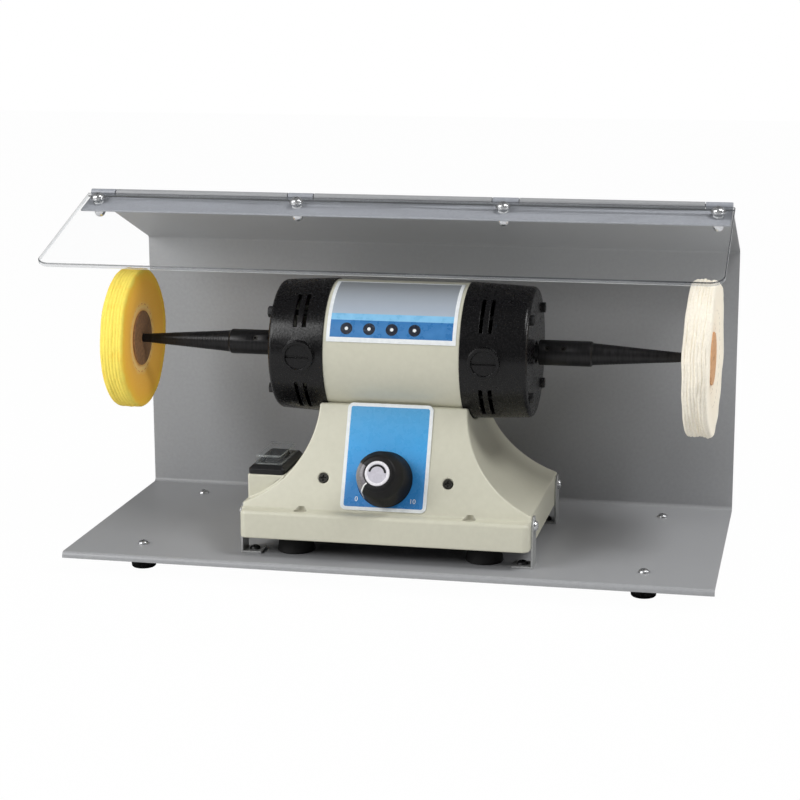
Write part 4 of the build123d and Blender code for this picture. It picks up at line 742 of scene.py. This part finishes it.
bm = merged_copy("control_panel")
front = [face for face in bm.faces if face.normal.dot(knob_out) > 0.9]
bmesh.ops.inset_region(bm, faces=front, thickness=2.4 * MM, use_even_offset=True, use_boundary=True)
for face in bm.faces:
    face.material_index = 1
for face in front:
    face.material_index = 0
piece("front_plate", bm, [panel_blue, white_ink], "base", ["control_panel"])


def numeral(text, across, up):
    """A printed numeral on the front plate, up the leaning face from its foot, in millimetres."""
    curve = bpy.data.curves.new("numeral", "FONT")
    curve.body = text
    curve.size = 4.6 * MM
    curve.extrude = 0.03 * MM
    curve.align_x = "CENTER"
    curve.align_y = "CENTER"
    written = bpy.data.objects.new("numeral", curve)
    bpy.context.collection.objects.link(written)
    flat = bpy.data.meshes.new_from_object(written.evaluated_get(bpy.context.evaluated_depsgraph_get()))
    bpy.data.objects.remove(written)
    bm = bmesh.new()
    bm.from_mesh(flat)
    bpy.data.meshes.remove(flat)
    stand = Matrix(((0, 0, 1, 0), (1, 0, 0, 0), (0, 1, 0, 0), (0, 0, 0, 1)))
    lift, knob_up = 0.83, 23.5
    place = panel @ Matrix.Translation((lift * MM, across * MM, (up - knob_up) * MM)) @ stand
    bmesh.ops.transform(bm, matrix=place, verts=bm.verts)
    return bm


piece("dial_low_numeral", numeral("0", -19.0, 9.2), [white_ink], "base")
piece("dial_high_numeral", numeral("10", 20.2, 9.2), [white_ink], "base")
oxide = finish("black_oxide", srgb(30, 29, 27), srgb(52, 50, 46), (0.35, 0.5), 900.0, relief=8.0, metal=0.6)
dressed("front_screws", oxide, "base", width=0.2)

# %% [markdown]
# ## Speed knob
# The knob is a black moulding with a fine knurl, one smooth thumb rest that ends in a white index
# line, and a spun silver cap with a white rim and a black arc. The body is turned with many rows up
# its side and its dome, and every other vertex of them is pressed in, which gives small pyramids like
# a real diamond knurl. The thumb rest keeps the round form and lies as deep as the grooves. Its grey
# is a painted reflection of light on its smooth black face.

# %% Speed knob
knob_black = finish(
    "knob_black", srgb(15, 15, 16), srgb(24, 23, 24), (0.36, 0.5), 1200.0, relief=20.0, shine=0.25
)
thumb_rest_painted_reflection = finish("thumb_rest_painted_reflection", srgb(100, 96, 100), srgb(118, 114, 118), (0.25, 0.38), 700.0, relief=8.0)
index_paint = finish("index_paint", srgb(214, 214, 212), srgb(236, 236, 234), (0.4, 0.5), 900.0, relief=6.0)
index_at, index_half = 225.0, 1.3
rest_at, rest_half = 186.25, 36.25
knurl_depth = 0.36
knob_steps = 144
section = [(0.0, 15.0), (0.0, 19.0), (0.35, 19.4)]
flank = [1.2 + 0.7 * i for i in range(23)]
section += [(h, 19.4 - 2.8 * h / 18.5) for h in flank]
dome = [
    (17.6, 16.65), (18.8, 16.25), (20.1, 15.65), (21.5, 14.9), (23.0, 14.05), (24.6, 13.1), (25.5, 12.4)
]
for (h, r), (next_h, next_r) in zip(dome, dome[1:]):
    section += [(h, r), ((h + next_h) / 2, (r + next_r) / 2)]
row_at = {round(h, 2): row for row, (h, r) in enumerate(section)}
section += [dome[-1], (26.0, 11.5), (26.0, 9.5), (26.0, 8.65), (25.0, 8.62), (25.0, 5.0)]
body = turned(section, steps=knob_steps)
for vert in body.verts:
    h, r = vert.co.x / MM, math.hypot(vert.co.y, vert.co.z) / MM
    angle = math.degrees(math.atan2(vert.co.z, vert.co.y))
    off = (angle - rest_at + 180.0) % 360.0 - 180.0
    row = row_at.get(round(h, 2))
    column = round(angle * knob_steps / 360.0)
    if h > 1.1 and row and (abs(off) < rest_half + 0.1 or (column + row) % 2):
        r -= knurl_depth
    vert.co.y = r * MM * math.cos(math.radians(angle))
    vert.co.z = r * MM * math.sin(math.radians(angle))
# The index line gets white paint, and the thumb rest a grey painted reflection.
for face in body.faces:
    spot = face.calc_center_median()
    angle = math.degrees(math.atan2(spot.z, spot.y)) % 360.0
    if spot.x > 1.0 * MM and math.hypot(spot.y, spot.z) > 9.6 * MM:
        if abs(angle - index_at) < index_half:
            face.material_index = 2
        elif abs(angle - rest_at) < rest_half:
            face.material_index = 1
knob_base = panel @ Matrix.Translation((1.4 * MM, 0, 0))
bmesh.ops.transform(body, matrix=knob_base, verts=body.verts)
piece(
    "knob_body", body, [knob_black, thumb_rest_painted_reflection, index_paint], "knob", ["speed_knob"],
    smooth=50.0,
)

spun_silver = finish(
    "spun_silver", srgb(188, 185, 194), srgb(200, 197, 206), (0.32, 0.42), 500.0, relief=2.0, metal=0.25
)
rim_white = finish("rim_white", srgb(222, 220, 224), srgb(238, 236, 240), (0.3, 0.4), 700.0, relief=4.0)
cap = turned(
    [(25, 0), (25, 8.5), (26.2, 8.5), (26.6, 8.1), (26.6, 6.9), (26.3, 6.6), (26.3, 0)], steps=96
)
for face in cap.faces:
    spot = face.calc_center_median()
    face.material_index = 1 if math.hypot(spot.y, spot.z) > 6.7 * MM else 0
arc = turned(
    [(26.25, 4.7), (26.25, 6.2), (26.42, 6.1), (26.42, 4.8), (26.25, 4.7)], steps=40, start=5.0, sweep=165.0
)
fill_ends(arc)
bmesh.ops.recalc_face_normals(arc, faces=arc.faces)
for shape in (cap, arc):
    bmesh.ops.transform(shape, matrix=knob_base, verts=shape.verts)
piece("knob_cap_disc", cap, [spun_silver, rim_white], "knob", ["knob_cap"])
piece("knob_cap_arc", arc, [knob_black], "knob")

# %% [markdown]
# ## Rocker switch
# A moulded black bezel with sloped sides holds the rocker, and a clear soft boot keeps dust out. The
# boot lets most of the light through, and its rounded edges get a paler, denser finish: a painted glint.

# %% Rocker switch
switch_black = finish(
    "switch_black", srgb(18, 18, 19), srgb(28, 28, 29), (0.3, 0.42), 1000.0, relief=14.0, shine=0.3
)
dressed("switch_housing", switch_black, "base", width=0.4)
dressed("switch_rocker", switch_black, "rocker", width=0.4)
boot_clear = see_through(
    finish("boot_clear", srgb(120, 126, 128), srgb(150, 156, 158), (0.06, 0.14), 250.0, relief=30.0), 0.07
)
boot_painted_glint = see_through(
    finish("boot_painted_glint", srgb(150, 156, 154), srgb(206, 211, 208), (0.1, 0.2), 250.0, relief=30.0), 0.3
)
bm = merged_copy("switch_boot")
soften(bm, 0.8, segments=3)
for face in bm.faces:
    # Sloped, rounded faces take the painted glint.
    face.material_index = 1 if 0.25 < abs(face.normal.z) < 0.95 else 0
piece("dust_boot", bm, [boot_clear, boot_painted_glint], "base", ["switch_boot"])

# %% [markdown]
# ## Spindles
# Each spindle is a collar clamped on the shaft by grub screws, and a taper with a fine thread that
# pulls the wheel on as it turns, so the two sides have opposite threads. The collar is a copy of its
# CAD solid. The thread is a spin that also steps along the axis, with every ring's radius then set
# from its place, so the last column meets the first one a pitch further on.

# %% Spindles
black_steel = finish(
    "black_steel", srgb(20, 20, 21), srgb(36, 35, 36), (0.28, 0.42), 700.0, relief=10.0, metal=0.3,
    shine=0.3, stretch=(1.0, 0.15, 0.15),
)


def threaded_taper(start, end, big, tip, pitch, depth):
    """A tapered thread along X; sizes in millimetres."""
    bm = bmesh.new()
    steps = 48
    count = round((end - start) / pitch * 4)
    line = [bm.verts.new(((start + i * pitch / 4) * MM, MM, 0)) for i in range(-4, count + 1)]
    edges = [bm.edges.new(pair) for pair in zip(line, line[1:])]
    bmesh.ops.spin(
        bm, geom=line + edges, cent=(0, 0, 0), axis=(1, 0, 0), dvec=(pitch * MM / steps, 0, 0),
        angle=2 * math.pi, steps=steps,
    )
    for vert in bm.verts:
        angle = math.atan2(vert.co.z, vert.co.y)
        along = vert.co.x / MM
        phase = ((along - start) / pitch - angle / (2 * math.pi)) % 1.0
        along = min(max(along, start), end)
        share = (along - start) / (end - start)
        fade = min(1.0, 12.0 * share, 12.0 * (1.0 - share))
        r = (big + (tip - big) * share - depth * fade * abs(2.0 * phase - 1.0)) * MM
        vert.co = (along * MM, r * math.cos(angle), r * math.sin(angle))
    bmesh.ops.remove_doubles(bm, verts=bm.verts, dist=2e-6)
    fill_ends(bm)
    bmesh.ops.recalc_face_normals(bm, faces=bm.faces)
    return bm


def along_shaft(node):
    """Where a node of the rotor starts and ends, in millimetres from the middle of the motor."""
    low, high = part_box(node)
    return sorted((abs(low[0]) / MM, abs(high[0]) / MM))


taper_length = 82.0
for side, sign in (("left", -1), ("right", 1)):
    node = side + "_spindle"
    collar = merged_copy(node)
    tip_end = along_shaft(node)[1]
    nose = tip_end - taper_length
    bmesh.ops.bisect_plane(
        collar, geom=collar.verts[:] + collar.edges[:] + collar.faces[:], dist=1e-7,
        plane_co=(sign * (nose + 0.4) * MM, 0, 0), plane_no=(sign, 0, 0), clear_outer=True,
    )
    fill_ends(collar)
    soften(collar, 0.2)
    piece(side + "_collar", collar, [black_steel], "rotor", [node])
    taper = threaded_taper(nose, tip_end, big=7.7, tip=1.8, pitch=2.0, depth=0.16)
    if sign < 0:
        bmesh.ops.scale(taper, vec=(-1, 1, 1), verts=taper.verts)
        bmesh.ops.recalc_face_normals(taper, faces=taper.faces)
    bmesh.ops.transform(taper, matrix=axle, verts=taper.verts)
    piece(side + "_taper", taper, [black_steel], "rotor", smooth=60.0)

# %% [markdown]
# ## Cloth wheels
# A buff is a stack of cotton discs stitched together near the middle, so its rim shows one rounded
# edge for each ply and flutters a little. A section with one scallop per ply is spun, and a noise
# that changes from ply to ply then moves the rim. The yellow wheel is a firm, treated one, and the
# white wheel is soft, with larger waves, and sits a few degrees askew on its thread, as soft wheels do.
# The yellow cloth also glows weakly in its own colour: painted light that lightens its shaded face.

# %% Cloth wheels
def reckon(tree, operation, *values):
    """A math node fed by sockets and numbers."""
    node = tree.nodes.new("ShaderNodeMath")
    node.operation = operation
    for entry, value in zip(node.inputs, values):
        if isinstance(value, float):
            entry.default_value = value
        else:
            tree.links.new(value, entry)
    return node.outputs[0]


def cloth(name, stops, weave, relief, stitches, fuzz):
    """Cotton whose colour changes from the hub to the rim, with a weave, a fuzz and rings of stitches."""
    material = finish(name, stops[0][1], stops[0][1], (0.8, 0.95), 900.0, relief=relief, sheen=0.7)
    tree = material.node_tree
    shader = tree.nodes["Principled BSDF"]
    shader.inputs["Sheen Tint"].default_value = fuzz
    where = tree.nodes.new("ShaderNodeTexCoord")
    centred = tree.nodes.new("ShaderNodeMapping")
    centred.inputs["Location"].default_value = (0, -axle.translation.y, -axle.translation.z)
    flat = tree.nodes.new("ShaderNodeVectorMath")
    flat.operation = "MULTIPLY"
    flat.inputs[1].default_value = (0.0, 1.0, 1.0)
    reach = tree.nodes.new("ShaderNodeVectorMath")
    reach.operation = "LENGTH"
    tree.links.new(where.outputs["Object"], centred.inputs["Vector"])
    tree.links.new(centred.outputs[0], flat.inputs[0])
    tree.links.new(flat.outputs[0], reach.inputs[0])
    stray = tree.nodes.new("ShaderNodeTexNoise")
    stray.inputs["Scale"].default_value = 90.0
    stray.inputs["Detail"].default_value = 5.0
    tree.links.new(where.outputs["Object"], stray.inputs["Vector"])
    wander = reckon(tree, "MULTIPLY_ADD", stray.outputs["Fac"], 0.006, reach.outputs["Value"])
    span = tree.nodes.new("ShaderNodeMapRange")
    span.inputs["From Min"].default_value = 0.003
    span.inputs["From Max"].default_value = 0.063
    tree.links.new(wander, span.inputs["Value"])
    rings = tree.nodes.new("ShaderNodeValToRGB")
    while len(rings.color_ramp.elements) < len(stops):
        rings.color_ramp.elements.new(0.5)
    for element, (radius, colour) in zip(rings.color_ramp.elements, stops):
        element.position = radius / 60.0
        element.color = colour
    tree.links.new(span.outputs["Result"], rings.inputs["Fac"])
    threads = tree.nodes.new("ShaderNodeTexNoise")
    threads.inputs["Scale"].default_value = weave
    threads.inputs["Detail"].default_value = 6.0
    tree.links.new(where.outputs["Object"], threads.inputs["Vector"])
    shade = tree.nodes.new("ShaderNodeMapRange")
    shade.inputs["From Min"].default_value = 0.25
    shade.inputs["From Max"].default_value = 0.75
    shade.inputs["To Min"].default_value = 0.93
    shade.inputs["To Max"].default_value = 1.06
    tree.links.new(threads.outputs["Fac"], shade.inputs["Value"])
    parts = tree.nodes.new("ShaderNodeSeparateXYZ")
    tree.links.new(centred.outputs[0], parts.inputs[0])
    around = reckon(tree, "ARCTAN2", parts.outputs["Z"], parts.outputs["Y"])
    last = shade.outputs["Result"]
    for radius, count in stitches:
        wave = reckon(tree, "SINE", reckon(tree, "MULTIPLY", around, count))
        on = reckon(tree, "GREATER_THAN", wave, 0.1)
        ring = reckon(tree, "COMPARE", reach.outputs["Value"], radius * MM, 0.0004)
        last = reckon(tree, "MULTIPLY_ADD", reckon(tree, "MULTIPLY", on, ring), -0.45, last)
    dyed = tree.nodes.new("ShaderNodeVectorMath")
    dyed.operation = "SCALE"
    tree.links.new(rings.outputs["Color"], dyed.inputs[0])
    tree.links.new(last, dyed.inputs["Scale"])
    tree.links.new(dyed.outputs[0], shader.inputs["Base Color"])
    return material


def buff(inner, outer, radius, plies, hole, hub, sinks, groove, side):
    """A stack of plies as one turned section, sunk at the hub; side is the way from the motor along X."""
    pitch = (outer - inner) / plies
    near, far = [
        [(sink, hole), (sink, 0.6 * hub), (sink, hub)]
        + [
            (sink * (0.5 + 0.5 * math.cos(math.pi * share)), hub + share * (radius - 12.0 - hub))
            for share in (0.2, 0.4, 0.6, 0.8, 1.0)
        ]
        + [(0.0, radius - 4.0)]
        for sink in sinks
    ]
    section = [(inner + x, r) for x, r in near]
    for ply in range(plies):
        for share, depth in ((0.06, 1.0), (0.3, 0.15), (0.7, 0.15), (0.94, 1.0)):
            x = inner + (ply + share) * pitch
            corner = max(0.0, 1.0 - min(x - inner, outer - x) / 2.5)
            section.append((x, radius - depth * groove - 1.5 * corner ** 2))
    section += [(outer - x, r) for x, r in reversed(far)]
    bm = turned([(side * x, r) for x, r in section], steps=192)
    fill_ends(bm)
    return bm


def flutter(bm, inner, pitch, hub, rim, radial, along, seed):
    """Moves the plies' edges in and out and to and fro, more towards the rim; sizes in millimetres."""
    for vert in bm.verts:
        r = math.hypot(vert.co.y, vert.co.z) / MM
        if r < hub:
            continue
        angle = math.atan2(vert.co.z, vert.co.y)
        ply = math.floor((abs(vert.co.x) / MM - inner) / pitch + 0.001)
        lift = min(1.0, (r - hub) / (rim - hub)) ** 1.5
        wide = noise.noise(Vector((2.1 * math.cos(angle), 2.1 * math.sin(angle), seed + 0.35 * ply)))
        fine = noise.noise(Vector((11.0 * math.cos(angle), 11.0 * math.sin(angle), seed + 3.7 * ply)))
        sway = noise.noise(Vector((2.6 * math.cos(angle), 2.6 * math.sin(angle), seed + 40.0 + 0.08 * ply)))
        r += lift * (radial[0] * wide + radial[1] * fine)
        vert.co.x += lift * along * sway * MM
        vert.co.y = r * MM * math.cos(angle)
        vert.co.z = r * MM * math.sin(angle)


# Darker towards the hub next to the washers: a painted shade. The face is oranger than the rim, partly dye
# and partly painted bounce light.
yellow_cloth = cloth(
    "yellow_cloth",
    [(15, srgb(206, 144, 68)), (22.5, srgb(255, 214, 140)), (27, srgb(255, 194, 86)),
     (40, srgb(255, 192, 72)), (46.5, srgb(255, 202, 66)), (49.5, srgb(240, 220, 96))],
    weave=700.0, relief=90.0, stitches=[(24.4, 22.0)], fuzz=srgb(255, 196, 84),
)
# A weak glow in the cloth's own colour: painted light on the shaded face, not a lamp.
painted_glow = 0.14
tree = yellow_cloth.node_tree
shader = tree.nodes["Principled BSDF"]
tree.links.new(shader.inputs["Base Color"].links[0].from_socket, shader.inputs["Emission Color"])
shader.inputs["Emission Strength"].default_value = painted_glow
inner, outer = along_shaft("yellow_buff")
radius, plies = 50.0, 7
wheel = buff(inner, outer, radius, plies, hole=3.2, hub=21.0, sinks=(2.4, 2.4), groove=0.45, side=-1)
flutter(
    wheel, inner, (outer - inner) / plies, hub=22.0, rim=radius, radial=(0.5, 0.3), along=0.5, seed=3.0
)
bmesh.ops.transform(wheel, matrix=axle, verts=wheel.verts)
piece("yellow_wheel", wheel, [yellow_cloth], "rotor", ["yellow_buff"], smooth=60.0)

white_cloth = cloth(
    "white_cloth",
    [(15, srgb(240, 224, 202)), (30, srgb(250, 240, 220)), (44, srgb(252, 243, 225)),
     (54, srgb(253, 246, 230))],
    weave=600.0, relief=70.0, stitches=[(24.0, 24.0), (33.0, 32.0)], fuzz=srgb(255, 246, 226),
)
inner, outer = along_shaft("white_buff")
set_in = 1.5
inner += set_in
radius, plies = 53.5, 8
wheel = buff(inner, outer, radius, plies, hole=3.0, hub=19.0, sinks=(1.5, 3.0), groove=0.4, side=1)
flutter(
    wheel, inner, (outer - inner) / plies, hub=21.0, rim=radius, radial=(2.0, 0.6), along=1.2, seed=11.0
)
hub_spot = Matrix.Translation((0.5 * (inner + outer) * MM, 0, 0))
askew = axle @ hub_spot @ Matrix.Rotation(math.radians(-2.2), 4, "Z") @ hub_spot.inverted()
bmesh.ops.transform(wheel, matrix=askew, verts=wheel.verts)
piece("white_wheel", wheel, [white_cloth], "rotor", ["white_buff"], smooth=60.0)

# %% [markdown]
# ## Leather washers
# A leather disc on each face carries the clamping force into the cloth. Leather is dull with a fine
# pebbled grain. The discs are turned with round rims.

# %% Leather washers
brown_leather = finish(
    "brown_leather", srgb(134, 96, 64), srgb(174, 130, 90), (0.6, 0.78), 500.0, relief=80.0
)
tan_leather = finish(
    "tan_leather", srgb(192, 138, 92), srgb(222, 174, 128), (0.55, 0.72), 400.0, relief=80.0
)
leather_thick = 1.5


def washers(spots, radius, place):
    """Two turned leather discs from (place along the shaft, radius of the hole)."""
    bm = bmesh.new()
    for x, hole in spots:
        end = x + leather_thick
        add_shape(bm, turned(
            [(x, hole), (x, radius - 0.5), (x + 0.4, radius), (end - 0.4, radius), (end, radius - 0.5),
             (end, hole), (x, hole)], steps=96,
        ))
    bmesh.ops.transform(bm, matrix=place, verts=bm.verts)
    return bm


near, far = along_shaft("yellow_leathers")
browns = washers([(-near - leather_thick, 3.45), (-far, 2.2)], 19.5, axle)
piece("brown_washers", browns, [brown_leather], "rotor", ["yellow_leathers"])
near, far = along_shaft("white_leathers")
tans = washers([(near, 3.3), (far - leather_thick, 2.1)], 18.2, askew)
piece("tan_washers", tans, [tan_leather], "rotor", ["white_leathers"])

# %% [markdown]
# ## Pieces inside
# The rest of the machine is hidden but still part of it: the wound motor, its bearings and brushes,
# the control board and the wiring side of the switch. The CAD solids have the right shape, so they
# only get finishes: stacked steel sheets, copper wire, ground steel, carbon and moulded plastic.

# %% Finishes of the inner pieces
dark_plate = finish("dark_plate", srgb(28, 28, 28), srgb(42, 42, 42), (0.4, 0.55), 500.0, relief=15.0)
brass = finish("brass", srgb(176, 140, 66), srgb(206, 170, 92), (0.25, 0.4), 800.0, relief=6.0, metal=1.0)
copper = finish(
    "copper_wire", srgb(120, 56, 30), srgb(196, 112, 66), (0.28, 0.42), 1400.0, relief=120.0, metal=0.6,
    stretch=(0.05, 1.0, 1.0),
)
core_steel = finish(
    "core_steel", srgb(88, 88, 90), srgb(134, 134, 136), (0.35, 0.5), 1800.0, relief=60.0, metal=0.8,
    stretch=(1.0, 0.02, 0.02),
)
ground_steel = finish(
    "ground_steel", srgb(168, 169, 172), srgb(206, 207, 210), (0.16, 0.28), 1500.0, relief=4.0, metal=1.0,
    stretch=(1.0, 0.05, 0.05),
)
carbon = finish("carbon", srgb(24, 24, 24), srgb(44, 44, 44), (0.6, 0.75), 1600.0, relief=25.0)
fan_white = finish("fan_plastic", srgb(206, 202, 190), srgb(222, 219, 208), (0.4, 0.5), 700.0, relief=10.0)
board_green = finish("board_green", srgb(24, 78, 44), srgb(38, 104, 60), (0.3, 0.45), 500.0, relief=12.0)
part_mix = finish("part_mix", srgb(36, 40, 58), srgb(58, 62, 84), (0.35, 0.5), 400.0, relief=10.0)

inside = {
    "bottom_plate": dark_plate, "base_screws": zinc, "hood_foot_nuts": zinc, "bracket_floor_nuts": zinc,
    "hinge_pin": ground_steel, "pot_body": zinc, "pot_nut": bright_zinc, "pot_shaft": zinc,
    "switch_terminals": brass, "control_board": board_green, "board_parts": part_mix, "motor_screws": zinc,
    "brush_holders": part_mix, "carbon_brushes": carbon, "brush_springs": ground_steel,
    "stator_core": core_steel, "field_coils": copper, "bearing_outer_rings": ground_steel,
    "bearing_inner_rings": ground_steel, "bearing_balls": ground_steel, "motor_shaft": dark_steel,
    "armature_core": core_steel, "armature_windings": copper, "commutator": copper,
    "cooling_fan": fan_white, "spindle_grubs": oxide,
}
for node, material in inside.items():
    for place in nodes[node].material_slots:
        place.material = material
print(len(inside), "inner nodes finished")
